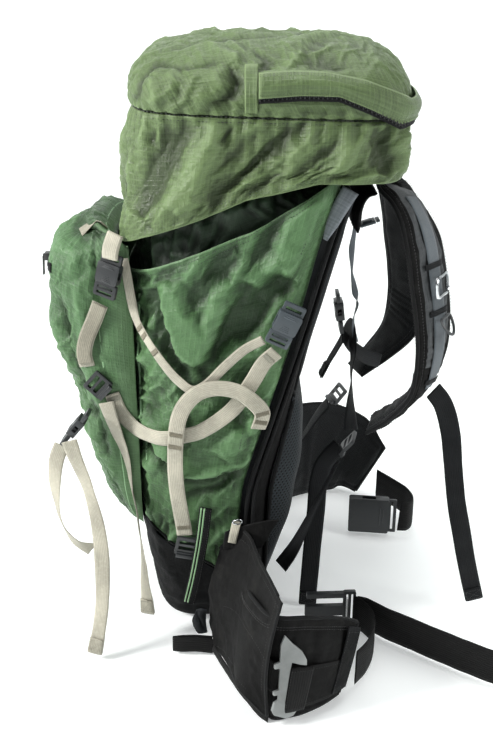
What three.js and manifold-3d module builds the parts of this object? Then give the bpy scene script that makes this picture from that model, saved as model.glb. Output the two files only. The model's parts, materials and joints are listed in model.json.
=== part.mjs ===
// Hiking backpack: internal-frame pack with lid, front pocket, harness and hip belt.
// Millimetres, +Z up. +X is the wearer's forward side (harness), -X the pocket side, -Y the wearer's right.
import * as THREE from 'three';
import { mergeVertices } from 'three/addons/utils/BufferGeometryUtils.js';
import Module from 'manifold-3d';

const wasm = await Module();
wasm.setup();

// ---------------------------------------------------------------- driving dimensions
const ORIGIN = [82.42, -20.4, 0];      // middle of the footprint box, on the floor
const WALL = 4;                       // shell thickness of the fabric bodies
const GAP = 0.8;                      // play between sewn-together bodies
const WEB20 = 20, WEB25 = 25, WEB50 = 50, WEB10 = 10;   // webbing widths
const WEB_T = 1.6;                    // webbing thickness
const PACK_HALF_WIDTH = 148;          // main bag, across the wearer's back
const LID_TOP = 766;                  // top of the stuffed lid
const SHOULDER_PAD_T = 15, SHOULDER_PAD_W = 66;
const WING_T = 17;                    // hip wing padding

// [z, value] tables of the bag's front line, back line and half width
const FRONT = [[0, -30], [12, -44], [60, -52], [110, -60], [165, -66], [260, -68], [440, -72], [620, -70]];
const BACK = [[0, 64], [12, 78], [60, 80], [110, 77], [150, 75], [211, 78], [240, 84], [300, 102], [350, 117], [440, 144], [520, 166], [620, 196]];
const HALF = [[0, 88], [12, 104], [60, 118], [110, 126], [200, 137], [300, PACK_HALF_WIDTH - 3], [440, PACK_HALF_WIDTH], [620, PACK_HALF_WIDTH - 2]];

const C = {
  green: 0x4f6a44, greenDark: 0x3b5234, tan: 0xb9b5a2, black: 0x1d1f20, blackSoft: 0x2a2d2e, mesh: 0x24282a,
  grey: 0x6f7678, plastic: 0x2b2f31, plasticGrey: 0x8d9090, chrome: 0xc4c7c8, alu: 0xa9adb0, sheet: 0x303336, collar: 0x31442f,
};

// ---------------------------------------------------------------- helpers
const V = (x, y, z) => new THREE.Vector3(x, y, z);
const lerp = (a, b, t) => a + (b - a) * t;
function table(tab, z) {
  if (z <= tab[0][0]) return tab[0][1];
  for (let i = 1; i < tab.length; i++) {
    if (z <= tab[i][0]) {
      const p0 = tab[Math.max(i - 2, 0)], p1 = tab[i - 1], p2 = tab[i], p3 = tab[Math.min(i + 1, tab.length - 1)];
      const t = (z - p1[0]) / (p2[0] - p1[0]), h = p2[0] - p1[0];
      const m1 = i > 1 ? (p2[1] - p0[1]) / (p2[0] - p0[0]) * h : p2[1] - p1[1];
      const m2 = i < tab.length - 1 ? (p3[1] - p1[1]) / (p3[0] - p1[0]) * h : p2[1] - p1[1];
      const t2 = t * t, t3 = t2 * t;
      return (2 * t3 - 3 * t2 + 1) * p1[1] + (t3 - 2 * t2 + t) * m1 + (-2 * t3 + 3 * t2) * p2[1] + (t3 - t2) * m2;
    }
  }
  return tab[tab.length - 1][1];
}

// one closed body through a list of equal rings
function skin(rings, { loop = false, capStart = true, capEnd = true } = {}) {
  const n = rings[0].length, pos = [], idx = [];
  rings.forEach(r => r.forEach(p => pos.push(p.x, p.y, p.z)));
  const R = rings.length, last = loop ? R : R - 1;
  for (let k = 0; k < last; k++) {
    const a = k * n, b = ((k + 1) % R) * n;
    for (let i = 0; i < n; i++) {
      const j = (i + 1) % n;
      idx.push(a + i, a + j, b + j, a + i, b + j, b + i);
    }
  }
  const cap = (k, flip) => {
    const c = V(0, 0, 0); rings[k].forEach(p => c.add(p)); c.divideScalar(n);
    const ci = pos.length / 3; pos.push(c.x, c.y, c.z);
    for (let i = 0; i < n; i++) {
      const j = (i + 1) % n;
      if (flip) idx.push(ci, k * n + j, k * n + i); else idx.push(ci, k * n + i, k * n + j);
    }
  };
  if (!loop) { if (capStart) cap(0, true); if (capEnd) cap(R - 1, false); }
  const g = new THREE.BufferGeometry();
  g.setAttribute('position', new THREE.Float32BufferAttribute(pos, 3));
  g.setIndex(idx);
  return outward(g);
}
function outward(g) {
  const p = g.attributes.position, ix = g.index.array; let vol = 0;
  const a = V(0, 0, 0), b = V(0, 0, 0), c = V(0, 0, 0);
  for (let i = 0; i < ix.length; i += 3) {
    a.fromBufferAttribute(p, ix[i]); b.fromBufferAttribute(p, ix[i + 1]); c.fromBufferAttribute(p, ix[i + 2]);
    vol += a.dot(b.clone().cross(c));
  }
  if (vol < 0) { for (let i = 0; i < ix.length; i += 3) { const t = ix[i]; ix[i] = ix[i + 1]; ix[i + 1] = t; } g.index.needsUpdate = true; }
  g.computeVertexNormals();
  return g;
}
// a wall of given thickness between an outer and an inner ring stack
const tubeShell = (outer, inner) => skin([...outer, ...inner.slice().reverse()], { loop: true });
const cupShell = (outer, inner) => skin([...outer, ...inner.slice().reverse()]);

// closed body over a (u,v) grid between two faces
function padBody(nu, nv, front, back) {
  const rings = [];
  // walk the border-to-border strips as rings: each v row is front points then back points reversed
  for (let j = 0; j <= nv; j++) {
    const row = [];
    for (let i = 0; i <= nu; i++) row.push(front(i / nu, j / nv));
    for (let i = nu; i >= 0; i--) row.push(back(i / nu, j / nv));
    rings.push(row);
  }
  const g = skin(rings, { capStart: false, capEnd: false });
  // end strips
  const n = 2 * (nu + 1), idx = Array.from(g.index.array);
  const pos = g.attributes.position;
  const test = (k, flip) => {
    for (let i = 0; i < nu; i++) {
      const a = k * n + i, b = k * n + i + 1, c = k * n + n - 2 - i, d = k * n + n - 1 - i;
      if (flip) idx.push(a, c, b, a, d, c); else idx.push(a, b, c, a, c, d);
    }
  };
  // orientation of the walls decides the strips
  const g2 = new THREE.BufferGeometry();
  g2.setAttribute('position', pos);
  const wall = [];
  for (let k = 0; k < nv; k++) for (let i = 0; i < n; i++) {
    const j = (i + 1) % n, a = k * n, b = (k + 1) * n;
    wall.push(a + i, a + j, b + j, a + i, b + j, b + i);
  }
  idx.length = 0; idx.push(...wall);
  test(0, true); test(nv, false);
  g2.setIndex(idx);
  return outward(g2);
}

// half superellipse ring: front half with power nf, back half with power nb
function bagRing(z0, slope, inset, N = 32, nf = 2.7, nb = 8) {
  const out = [];
  for (let i = 0; i < N; i++) {
    const th = 2 * Math.PI * (i + 0.5) / N, c = Math.cos(th), s = Math.sin(th);
    let z = z0, x = 0, y = 0;
    for (let k = 0; k < 12; k++) {
      const xf = table(FRONT, z) + inset, xb = table(BACK, z) - inset, hy = table(HALF, z) - inset;
      const xc = (xf + xb) / 2, a = (xb - xf) / 2, n = c < 0 ? nf : nb;
      x = xc + a * Math.sign(c) * Math.pow(Math.abs(c), 2 / n);
      y = hy * Math.sign(s) * Math.pow(Math.abs(s), 2 / n);
      z = z0 + slope * (x - 10);
    }
    out.push(V(x, y, z));
  }
  return out;
}
// front face of the bag at a given y and z
function frontX(y, z, nf = 2.7) {
  const xf = table(FRONT, z), xb = table(BACK, z), hy = table(HALF, z);
  const xc = (xf + xb) / 2, a = (xb - xf) / 2;
  return xc - a * Math.pow(Math.max(1 - Math.pow(Math.abs(y) / hy, nf), 0), 1 / nf);
}
const backX = z => table(BACK, z);

function superRing(xf, xb, hy, z0, slope, N = 32, nf = 2.6, nb = 3.2, yc = 0) {
  const xc = (xf + xb) / 2, a = (xb - xf) / 2, out = [];
  for (let i = 0; i < N; i++) {
    const th = 2 * Math.PI * (i + 0.5) / N, c = Math.cos(th), s = Math.sin(th), n = c < 0 ? nf : nb;
    const x = xc + a * Math.sign(c) * Math.pow(Math.abs(c), 2 / n);
    const y = yc + hy * Math.sign(s) * Math.pow(Math.abs(s), 2 / n);
    out.push(V(x, y, z0 + slope * (x - xc)));
  }
  return out;
}

// flat strap of rectangular section along a smooth route; wide[i] is the direction across the strap
function strap(pts, wide, width, thick = WEB_T, steps = 0, endScale = null) {
  const P = pts.map(p => V(...p)), W = wide.length === 3 && typeof wide[0] === 'number' ? P.map(() => V(...wide)) : wide.map(w => V(...w));
  const n = steps || Math.max(2, Math.round((P.length - 1) * 2));
  const curve = new THREE.CatmullRomCurve3(P, false, 'centripetal');
  const rings = [];
  for (let k = 0; k <= n; k++) {
    const t = k / n, p = curve.getPoint(t), tan = curve.getTangent(t);
    const f = t * (P.length - 1), i = Math.min(Math.floor(f), P.length - 2), u = f - i;
    const w = W[i].clone().multiplyScalar(1 - u).add(W[i + 1].clone().multiplyScalar(u));
    w.sub(tan.clone().multiplyScalar(w.dot(tan))).normalize();
    const nn = tan.clone().cross(w).normalize();
    const hw = width / 2, ht = thick / 2;
    rings.push([[1, 1], [-1, 1], [-1, -1], [1, -1]].map(([a, b]) =>
      p.clone().add(w.clone().multiplyScalar(a * hw)).add(nn.clone().multiplyScalar(b * ht))));
  }
  return skin(rings);
}
// padded strap: rounded section, width and thickness can change along it
function padStrap(pts, wide, widths, thicks, n) {
  const P = pts.map(p => V(...p)), W = wide.map(w => V(...w));
  const curve = new THREE.CatmullRomCurve3(P, false, 'centripetal'), rings = [];
  const at = (arr, f) => { const i = Math.min(Math.floor(f), arr.length - 2), u = f - i; return lerp(arr[i], arr[i + 1], u); };
  for (let k = 0; k <= n; k++) {
    const t = k / n, p = curve.getPoint(t), tan = curve.getTangent(t), f = t * (P.length - 1);
    const i = Math.min(Math.floor(f), P.length - 2), u = f - i;
    const w = W[i].clone().multiplyScalar(1 - u).add(W[i + 1].clone().multiplyScalar(u));
    w.sub(tan.clone().multiplyScalar(w.dot(tan))).normalize();
    const nn = tan.clone().cross(w).normalize();
    const hw = at(widths, f) / 2, ht = at(thicks, f) / 2;
    rings.push([[1, .35], [.8, 1], [-.8, 1], [-1, .35], [-1, -.35], [-.8, -1], [.8, -1], [1, -.35]].map(([a, b]) =>
      p.clone().add(w.clone().multiplyScalar(a * hw)).add(nn.clone().multiplyScalar(b * ht))));
  }
  return skin(rings);
}
// round bar along a route
function bar(pts, r, { closed = false, sides = 8, steps = 0 } = {}) {
  const P = pts.map(p => V(...p)), curve = new THREE.CatmullRomCurve3(P, closed, 'centripetal');
  const n = steps || (P.length - 1) * 3, rings = [];
  const fr = curve.computeFrenetFrames(n, closed);
  for (let k = 0; k < (closed ? n : n + 1); k++) {
    const p = curve.getPointAt(k / n), ring = [];
    for (let s = 0; s < sides; s++) {
      const a = 2 * Math.PI * s / sides;
      ring.push(p.clone().add(fr.normals[k].clone().multiplyScalar(Math.cos(a) * r)).add(fr.binormals[k].clone().multiplyScalar(Math.sin(a) * r)));
    }
    rings.push(ring);
  }
  return skin(rings, { loop: closed });
}
// boolean helpers
function toManifold(g) {
  const h = g.clone(); h.deleteAttribute('normal'); h.deleteAttribute('uv');
  const m = mergeVertices(h, 1e-4);
  const p = m.attributes.position.array;
  return new wasm.Manifold(new wasm.Mesh({ numProp: 3, vertProperties: new Float32Array(p), triVerts: new Uint32Array(m.index.array) }));
}
function fromManifold(mf) {
  const m = mf.getMesh(), g = new THREE.BufferGeometry();
  g.setAttribute('position', new THREE.BufferAttribute(new Float32Array(m.vertProperties), 3));
  g.setIndex(new THREE.BufferAttribute(new Uint32Array(m.triVerts), 1));
  g.computeVertexNormals();
  return g;
}
const box = (x, y, z, cx = 0, cy = 0, cz = 0) => new THREE.BoxGeometry(x, y, z).translate(cx, cy, cz);
const join = (...gs) => fromManifold(gs.map(toManifold).reduce((a, b) => a.add(b)));
const cut = (g, ...gs) => fromManifold(gs.map(toManifold).reduce((a, b) => a.subtract(b), toManifold(g)));
// rounded rectangle plate in local XZ, thickness along Y, with optional slots [cx, cz, w, h]
function plate(w, h, t, r, slots = []) {
  const s = new THREE.Shape(); rr(s, -w / 2, -h / 2, w, h, r);
  slots.forEach(([cx, cz, sw, sh]) => { const q = new THREE.Path(); rr(q, cx - sw / 2, cz - sh / 2, sw, sh, Math.min(1, sh / 3)); s.holes.push(q); });
  const g = new THREE.ExtrudeGeometry(s, { depth: t, bevelEnabled: false, curveSegments: 2 });
  g.translate(0, 0, -t / 2); g.rotateX(Math.PI / 2);
  return g;
}
function rr(s, x, y, w, h, r) {
  s.moveTo(x + r, y); s.lineTo(x + w - r, y); s.quadraticCurveTo(x + w, y, x + w, y + r); s.lineTo(x + w, y + h - r);
  s.quadraticCurveTo(x + w, y + h, x + w - r, y + h); s.lineTo(x + r, y + h); s.quadraticCurveTo(x, y + h, x, y + h - r);
  s.lineTo(x, y + r); s.quadraticCurveTo(x, y, x + r, y);
}

// ---------------------------------------------------------------- hardware, local frame: X across the webbing, Y through it, Z along it
// receiving half of a side-release buckle for webbing of width w; mouth faces -Z, webbing bar at +Z
function buckleFemale(w) {
  const W = w + 9, L = w * 1.25, T = 9.5 + w * 0.08;
  let b = plate(W, L, T, 3);
  b.translate(0, 0, L / 2 + 9);
  const body = cut(b, box(W - 5, T - 4.4, L - 6, 0, 0, L / 2 + 6 - 3), box(W + 4, T - 5.4, L * 0.34, 0, 0, L * 0.5 + 9));
  const loopPlate = plate(W - 2, 13, 4.4, 2, [[0, -0.2, w + 0.5, 3.6]]); loopPlate.translate(0, 0, L + 9 + 5.2);
  return join(body, loopPlate);
}
// inserting half: tongue and two arms point to +Z, webbing slots at -Z
function buckleMale(w) {
  const W = w + 9, L = w * 1.25, T = 9.5 + w * 0.08, t = T - 6.2, reach = L - 10;
  const base = plate(W, 17, 5.2, 2.5, [[0, -3.6, w + 0.5, 3.2], [0, 3.1, w + 0.5, 3.2]]); base.translate(0, 0, -0.4);
  const tongue = box(W * 0.26, t, reach, 0, 0, 7 + reach / 2);
  const armL = box(W * 0.12, t, reach - 2, -(W / 2 - 5.6), 0, 7 + reach / 2 - 1), armR = box(W * 0.12, t, reach - 2, W / 2 - 5.6, 0, 7 + reach / 2 - 1);
  return join(base, tongue, armL, armR);
}
// ladder-lock adjuster: frame with two bars and a lifting lip
function ladderLock(w) {
  const W = w + 9, f = plate(W, 27, 4, 3, [[0, 6.3, w + 0.6, 5.2], [0, -2.6, w + 0.6, 5.2]]);
  const lip = box(W - 6, 3, 6, 0, -2.2, -12); const lip2 = box(W - 6, 2.4, 5, 0, -4.6, -13.6);
  return join(f, lip, lip2);
}

// ---------------------------------------------------------------- scene graph
const pack = new THREE.Group();
pack.position.set(-ORIGIN[0], -ORIGIN[1], -ORIGIN[2]);
function add(name, geometry, color, roughness = 0.85, metalness = 0, parent = pack) {
  const m = new THREE.Mesh(geometry, new THREE.MeshStandardMaterial({ color, roughness, metalness }));
  m.name = name; parent.add(m); return m;
}
// put a mesh at a point with its local X (across) and Z (along) directions
function set(mesh, at, across, along) {
  const z = V(...along).normalize(), x = V(...across); x.sub(z.clone().multiplyScalar(x.dot(z))).normalize();
  const y = z.clone().cross(x);
  mesh.quaternion.setFromRotationMatrix(new THREE.Matrix4().makeBasis(x, y, z));
  mesh.position.set(...at);
  return mesh;
}

// ================================================================ bag
const RIM = { z0: 529, slope: 0.42 };
{
  const o = [[0, 0, 0], [12, 0, 0], [45, -0.15, 0], [80, -0.4, 0], [117, -0.68, 0]], i = [[6, 0, 6], [14, 0, 5], [45, -0.15, 4.5], [80, -0.4, 4.5], [117, -0.68, 4.5]];
  add('bottom_panel', cupShell(o.map(a => bagRing(...a)), i.map(a => bagRing(...a))), C.black, 0.9);
}
{
  const s = [[118.2, -0.68], [160, -0.5], [210, -0.3], [265, -0.12], [320, 0], [375, 0.1], [430, 0.2], [480, 0.3], [RIM.z0, RIM.slope]];
  add('main_bag', tubeShell(s.map(a => bagRing(a[0], a[1], 0)), s.map(a => bagRing(a[0], a[1], WALL))), C.green);
}
// snow collar: gathered tube standing in the bag's mouth
{
  const o = [bagRing(482, 0.3, 7), bagRing(530, 0.4, 9), superRing(-56, 182, 128, 578, 0.28), superRing(-38, 166, 108, 618, 0.16), superRing(-20, 150, 88, 640, 0.06)];
  const N = 32, ring2 = (xf, xb, hy, z0, sl, d) => superRing(xf + d, xb - d, hy - d, z0, sl, N);
  const a = [[-56, 182, 128, 578, 0.28], [-38, 166, 108, 618, 0.16], [-20, 150, 88, 640, 0.06]];
  add('snow_collar', tubeShell([bagRing(482, 0.3, 7), bagRing(530, 0.4, 9), ...a.map(q => ring2(...q, 0))], [bagRing(482, 0.3, 10), bagRing(530, 0.4, 12), ...a.map(q => ring2(...q, 3))]), C.collar, 0.8);
}

// ---------------------------------------------------------------- front pocket, a bowl sewn over the bag's front
const POCKET_H = [[0, 0], [0.05, 24], [0.12, 40], [0.25, 50], [0.38, 62], [0.5, 74], [0.62, 88], [0.74, 91], [0.84, 84], [0.91, 67], [0.955, 46], [0.98, 27], [1, 6]];
const POCKET_Z = [[0, 152], [0.05, 158], [0.12, 185], [0.25, 240], [0.38, 300], [0.5, 348], [0.62, 405], [0.74, 462], [0.84, 512], [0.91, 546], [0.955, 563], [0.98, 558], [1, 530]];
{
  const yw = v => 106 - 12 * Math.pow(Math.abs(v - 0.5) * 2, 3);
  const yy = u => { const s = u * 2 - 1; return Math.sign(s) * Math.pow(Math.abs(s), 0.62); };
  const face = (u, v, lift, thin) => {
    const q = yy(u), side = Math.pow(Math.max(1 - Math.pow(Math.abs(q), 9), 0), 0.45);
    const h = Math.max(table(POCKET_H, v) * side - thin, 0);
    const zt = table(POCKET_Z, v), zs = lerp(152, 530, v), z = lerp(zs, zt, side) - (v > 0.9 ? thin * 0.8 * side : 0) + (v < 0.1 ? thin * 0.8 * side : 0);
    const y = q * (yw(v) - (Math.abs(q) > 0.9 ? thin * side : 0));
    return V(frontX(y, zs) - lift - h, y, z);
  };
  add('front_pocket', padBody(12, 15, (u, v) => face(u, v, 6, 0), (u, v) => face(u, v, 2.4, 1)), C.green);
}

// ---------------------------------------------------------------- back system
const SHEET_T = 1.6, STAY_T = 2.6, STAY_W = 25, SHEET_X = 3.2, STAY_X = 5.3, PANEL_X = 9.6;
const PANEL = [[60, 9], [94, 14], [164, 20], [240, 20], [300, 16], [350, 12], [400, 7], [440, 6], [620, 6]];
const LUMBAR = [[78, 5], [94, 9], [130, 20], [164, 30], [200, 33], [240, 34], [290, 24], [323, 16], [340, 6]];
add('frame_sheet', padBody(4, 14, (u, v) => V(backX(lerp(98, 588, v)) + SHEET_X + SHEET_T, lerp(-104, 104, u), lerp(98, 588, v)), (u, v) => V(backX(lerp(98, 588, v)) + SHEET_X, lerp(-104, 104, u), lerp(98, 588, v))), C.sheet, 0.5);
for (const [n, y] of [['near', -58], ['far', 58]])
  add('stay_' + n, padBody(1, 14, (u, v) => V(backX(lerp(98, 588, v)) + STAY_X + STAY_T, y + lerp(-STAY_W / 2, STAY_W / 2, u), lerp(98, 588, v)), (u, v) => V(backX(lerp(98, 588, v)) + STAY_X, y + lerp(-STAY_W / 2, STAY_W / 2, u), lerp(98, 588, v))), C.alu, 0.35, 0.9);
const panelOut = z => backX(z) + PANEL_X + table(PANEL, z);
{
  const yw = z => lerp(129, 118, Math.max(0, (z - 300) / 300));
  const zz = v => lerp(74, 598, v);
  const edge = u => Math.pow(Math.max(1 - Math.pow(Math.abs(2 * u - 1), 10), 0), 0.5);
  add('back_panel', padBody(6, 14, (u, v) => { const z = zz(v); return V(backX(z) + PANEL_X + Math.max(table(PANEL, z) * edge(u), 3), lerp(-1, 1, u) * yw(z), z); }, (u, v) => { const z = zz(v); return V(backX(z) + PANEL_X, lerp(-1, 1, u) * yw(z), z); }), C.blackSoft);
}
{
  const zz = v => lerp(345, 562, v), w = 98;
  const e = (u, v) => Math.pow(Math.max((1 - Math.pow(Math.abs(2 * u - 1), 6)) * (1 - Math.pow(Math.abs(2 * v - 1), 6)), 0), 0.5);
  add('upper_back_pad', padBody(6, 6, (u, v) => V(panelOut(zz(v)) + 0.8 + 3 + 6 * e(u, v), lerp(-w, w, u), zz(v)), (u, v) => V(panelOut(zz(v)) + 0.8, lerp(-w, w, u), zz(v))), C.mesh);
}
{
  const zz = v => lerp(80, 338, v), yw = v => 117 - 10 * Math.pow(Math.abs(v * 2 - 1), 2.5);
  const e = u => Math.pow(Math.max(1 - Math.pow(Math.abs(2 * u - 1), 7), 0), 0.5);
  add('lumbar_pad', padBody(8, 10, (u, v) => { const z = zz(v); return V(panelOut(z) + 0.8 + Math.max(table(LUMBAR, z) * (0.35 + 0.65 * e(u)), 3), lerp(-1, 1, u) * yw(v), z); }, (u, v) => { const z = zz(v); return V(panelOut(z) + 0.8, lerp(-1, 1, u) * yw(v), z); }), C.mesh);
}

// ---------------------------------------------------------------- lid
const lid = new THREE.Group(); pack.add(lid);
const LID_HINGE = [268, 0, 603];
const SKIRT = [[-76, 263, 160, 573, 0.19], [-72, 265, 159, 605, 0.14], [-66, 267, 157, 645, 0.06], [-58, 268, 152, 684, -0.03]];
const DOME = [[-57, 268, 151, 686.5, -0.03], [-61, 271, 156, 704, -0.03], [-55, 263, 150, 726, -0.02], [-36, 240, 130, 746, 0.0], [-2, 205, 98, 758, 0.02], [40, 160, 55, 764, 0.02], [85, 110, 14, LID_TOP, 0]];
const lidRing = (a, d, dz = 0) => superRing(a[0] + d, a[1] - d, a[2] - d, a[3] + dz, a[4], 32, 4.0, 4.6);
add('lid_skirt', tubeShell(SKIRT.map(a => lidRing(a, 0)), SKIRT.map(a => lidRing(a, WALL))), C.green, 0.85, 0, lid);
{
  const top = DOME.slice().reverse();
  add('lid_pocket', cupShell(top.map(a => lidRing(a, 0)), top.map((a, i) => lidRing(a, WALL, i === top.length - 1 ? 0 : -5 + i * 0.5))), C.green, 0.85, 0, lid);
}

// ================================================================ shoulder harness
const YOKE = [[215, 0, 536], [215, 0, 562], [223, 0, 582], [235, 0, 587]];
add('yoke', padStrap(YOKE, YOKE.map(() => [0, 1, 0]), [120, 132, 140, 140], [9, 11, 11, 10], 6), C.black);
const SH = { // one shoulder strap, right side; the left one is its mirror image
  pts: [[255, -46, 588.5], [272, -70, 573], [289, -86, 536], [299, -94, 486], [306, -99, 440], [307, -102, 396], [296, -104, 354], [268, -101, 320], [236, -92, 294]],
  wide: [[0.1, 1, 0], [0.3, 0.95, 0], [0.45, 0.9, 0], [0.5, 0.87, 0], [0.5, 0.87, 0], [0.48, 0.88, 0], [0.42, 0.9, 0.1], [0.35, 0.93, 0.1], [0.25, 0.96, 0.1]],
  w: [58, 64, 66, 66, 64, 60, 54, 46, 38], t: [13, 14, 15, 15, 15, 15, 15, 14, 12],
};
const mirror = a => a.map(p => [p[0], -p[1], p[2]]);
function offsetRoute(pts, wide, d, i0, i1) {
  const c = new THREE.CatmullRomCurve3(pts.map(p => V(...p)), false, 'centripetal'), out = [];
  for (let i = i0; i <= i1; i++) {
    const t = i / (pts.length - 1), p = c.getPoint(t), tan = c.getTangent(t), w = V(...wide[i]);
    w.sub(tan.clone().multiplyScalar(w.dot(tan))).normalize();
    p.add(tan.clone().cross(w).multiplyScalar(typeof d === 'function' ? d(i) : d)); out.push([p.x, p.y, p.z]);
  }
  return out;
}
const RUN = offsetRoute(SH.pts, SH.wide, i => SH.t[i] / 2 + 3.3, 1, 6), RUNW = SH.wide.slice(1, 7);
const lower = (a, k = 1) => a.map(p => [p[0], p[1], p[2]]);
for (const [side, m] of [['near', a => a], ['far', mirror]]) {
  add('shoulder_strap_' + side, padStrap(m(SH.pts), m(SH.wide), SH.w, SH.t, 20), C.black);
  add('strap_runner_' + side, strap(m(RUN), m(RUNW), 25, 1.6, 12), C.grey);
}
// metal ring and D-ring hanging on each runner
const ringAt = k => ({ p: RUN[k], w: RUNW[k] });
const NRM = [0.866, -0.5, 0], ACR = [0.5, 0.866, 0];
function rectRing(w, h, r) { return bar([[-w / 2, 0, -h / 2], [0, 0, -h / 2 - 0.6], [w / 2, 0, -h / 2], [w / 2 + 0.6, 0, 0], [w / 2, 0, h / 2], [0, 0, h / 2 + 0.6], [-w / 2, 0, h / 2], [-w / 2 - 0.6, 0, 0]], r, { closed: true, sides: 6, steps: 24 }); }
function dRing(w, h, r) { return bar([[-w / 2, 0, 0], [0, 0, 0.4], [w / 2, 0, 0], [w / 2 - 1, 0, -h * 0.45], [w * 0.25, 0, -h * 0.85], [0, 0, -h], [-w * 0.25, 0, -h * 0.85], [-w / 2 + 1, 0, -h * 0.45]], r, { closed: true, sides: 6, steps: 22 }); }
for (const [side, s] of [['near', 1], ['far', -1]]) {
  const c = [302, -95 * s, 487], n = [0.866, -0.5 * s, 0], w = [0.5, 0.866 * s, 0];
  const at = (z, d, x0, y0) => [x0 + n[0] * d, y0 * s + n[1] * d, z];
  set(add('runner_ring_' + side, rectRing(34, 22, 2), C.chrome, 0.25, 1), at(484, 16.6, 299.5, -94.2), w, [-0.12 * n[0], -0.12 * n[1], 1]);
  set(add('d_ring_' + side, dRing(30, 22, 1.9), C.grey, 0.5, 0), at(444, 16.4, 305.6, -98.6), w, [-0.5 * n[0], -0.5 * n[1], 0.87]);
}
// lower adjusters of the shoulder straps
for (const [side, s] of [['near', 1], ['far', -1]]) {
  set(add('shoulder_adjuster_' + side, ladderLock(WEB25), C.plastic, 0.5), [211, -80 * s, 262], [0.2, 0.98 * s, 0], [0.62, -0.15 * s, 0.77]);
  add('shoulder_anchor_web_' + side, strap([[199, -93 * s, 243], [188, -100 * s, 224], [166, -112 * s, 180], [141, -124 * s, 130], [124, -130 * s, 106]], [[0.2, 1 * s, 0], [0.2, 1 * s, 0.1], [0.1, 1 * s, 0.25], [-0.2, 1 * s, 0.4], [-0.3, 1 * s, 0.5]], 25, 1.6, 10), C.black);
}

// ================================================================ hip belt
const WN = [[98, -136, 22, 118], [86, -175, 10, 123], [82, -220, 2, 132], [91, -266, 0.4, 145], [110, -297, 0, 149], [143, -290, 0, 140], [176, -270, 0, 122], [203, -245, 0, 98]];
const WF = [[103, 136, 30, 128], [112, 176, 12, 142], [136, 220, 3, 158], [172, 249, 0, 169], [213, 262, 0, 164], [253, 258, 0, 146], [285, 239, 0, 108]];
const wing = (W) => padStrap(W.map(p => [p[0], p[1], (p[2] + p[3]) / 2]), W.map(() => [0, 0, 1]), W.map(p => p[3] - p[2]), W.map((p, i) => i === 0 || i === W.length - 1 ? WING_T - 4 : WING_T), 18);
const wingNear = new THREE.Group(), wingFar = new THREE.Group(); pack.add(wingNear, wingFar);
add('hip_wing_near', wing(WN), C.black, 0.85, 0, wingNear);
add('hip_wing_far', wing(WF), C.black, 0.85, 0, wingFar);
// moulded C-shaped webbing anchors
function anchorPlate() {
  const o = [[-6, 60], [4, 46], [16, 32], [22, 19], [22, 11], [14, 14], [3, 20], [1, 9], [-5, -37], [1, -47], [12, -50], [6, -58], [-3, -60], [-19, -50], [-22, -43], [-19, -32], [-14, -30], [-14, -22], [-20, -21], [-20, -16], [-13, -15], [-12, 16], [-19, 17], [-19, 23], [-12, 25], [-11, 48]];
  const s = new THREE.Shape(); o.forEach(([x, z], i) => i ? s.lineTo(x, z) : s.moveTo(x, z)); s.closePath();
  const g = new THREE.ExtrudeGeometry(s, { depth: 4, bevelEnabled: false }); g.translate(0, 0, -2); g.rotateX(Math.PI / 2); return g;
}
set(add('anchor_plate_near', anchorPlate(), C.plasticGrey, 0.5, 0, wingNear), [128.5, -308.5, 72], [0.93, 0.36, 0], [0, 0, 1]);
set(add('anchor_plate_far', anchorPlate(), C.plasticGrey, 0.5, 0, wingFar), [214, 275.5, 84], [-1, 0.0, 0], [0, 0, 1]);
// 50 mm belt webbing and its buckle halves
set(add('belt_buckle_male', buckleMale(WEB50), C.plastic, 0.45, 0, wingNear), [217, -124, 34], [0, 0, 1], [-1, -0.05, 0]);
add('belt_web_near', strap([[214, -246, 34], [230, -222, 33], [243, -188, 33], [244, -160, 33], [231, -137, 34], [222.5, -128, 34]], [0, 0, 1], 50, 1.8, 14), C.black, 0.85, 0, wingNear);
set(add('belt_buckle_female', buckleFemale(WEB50), C.plastic, 0.45, 0, wingFar), [231, 124, 38], [0, 0, 1], [1, -0.12, 0]);
add('belt_web_far', strap([[318, 113, 37], [331, 115, 36], [342, 132, 35], [338, 164, 34], [318, 200, 33], [297, 231, 33]], [0, 0, 1], 50, 1.8, 14), C.black, 0.85, 0, wingFar);

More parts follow.
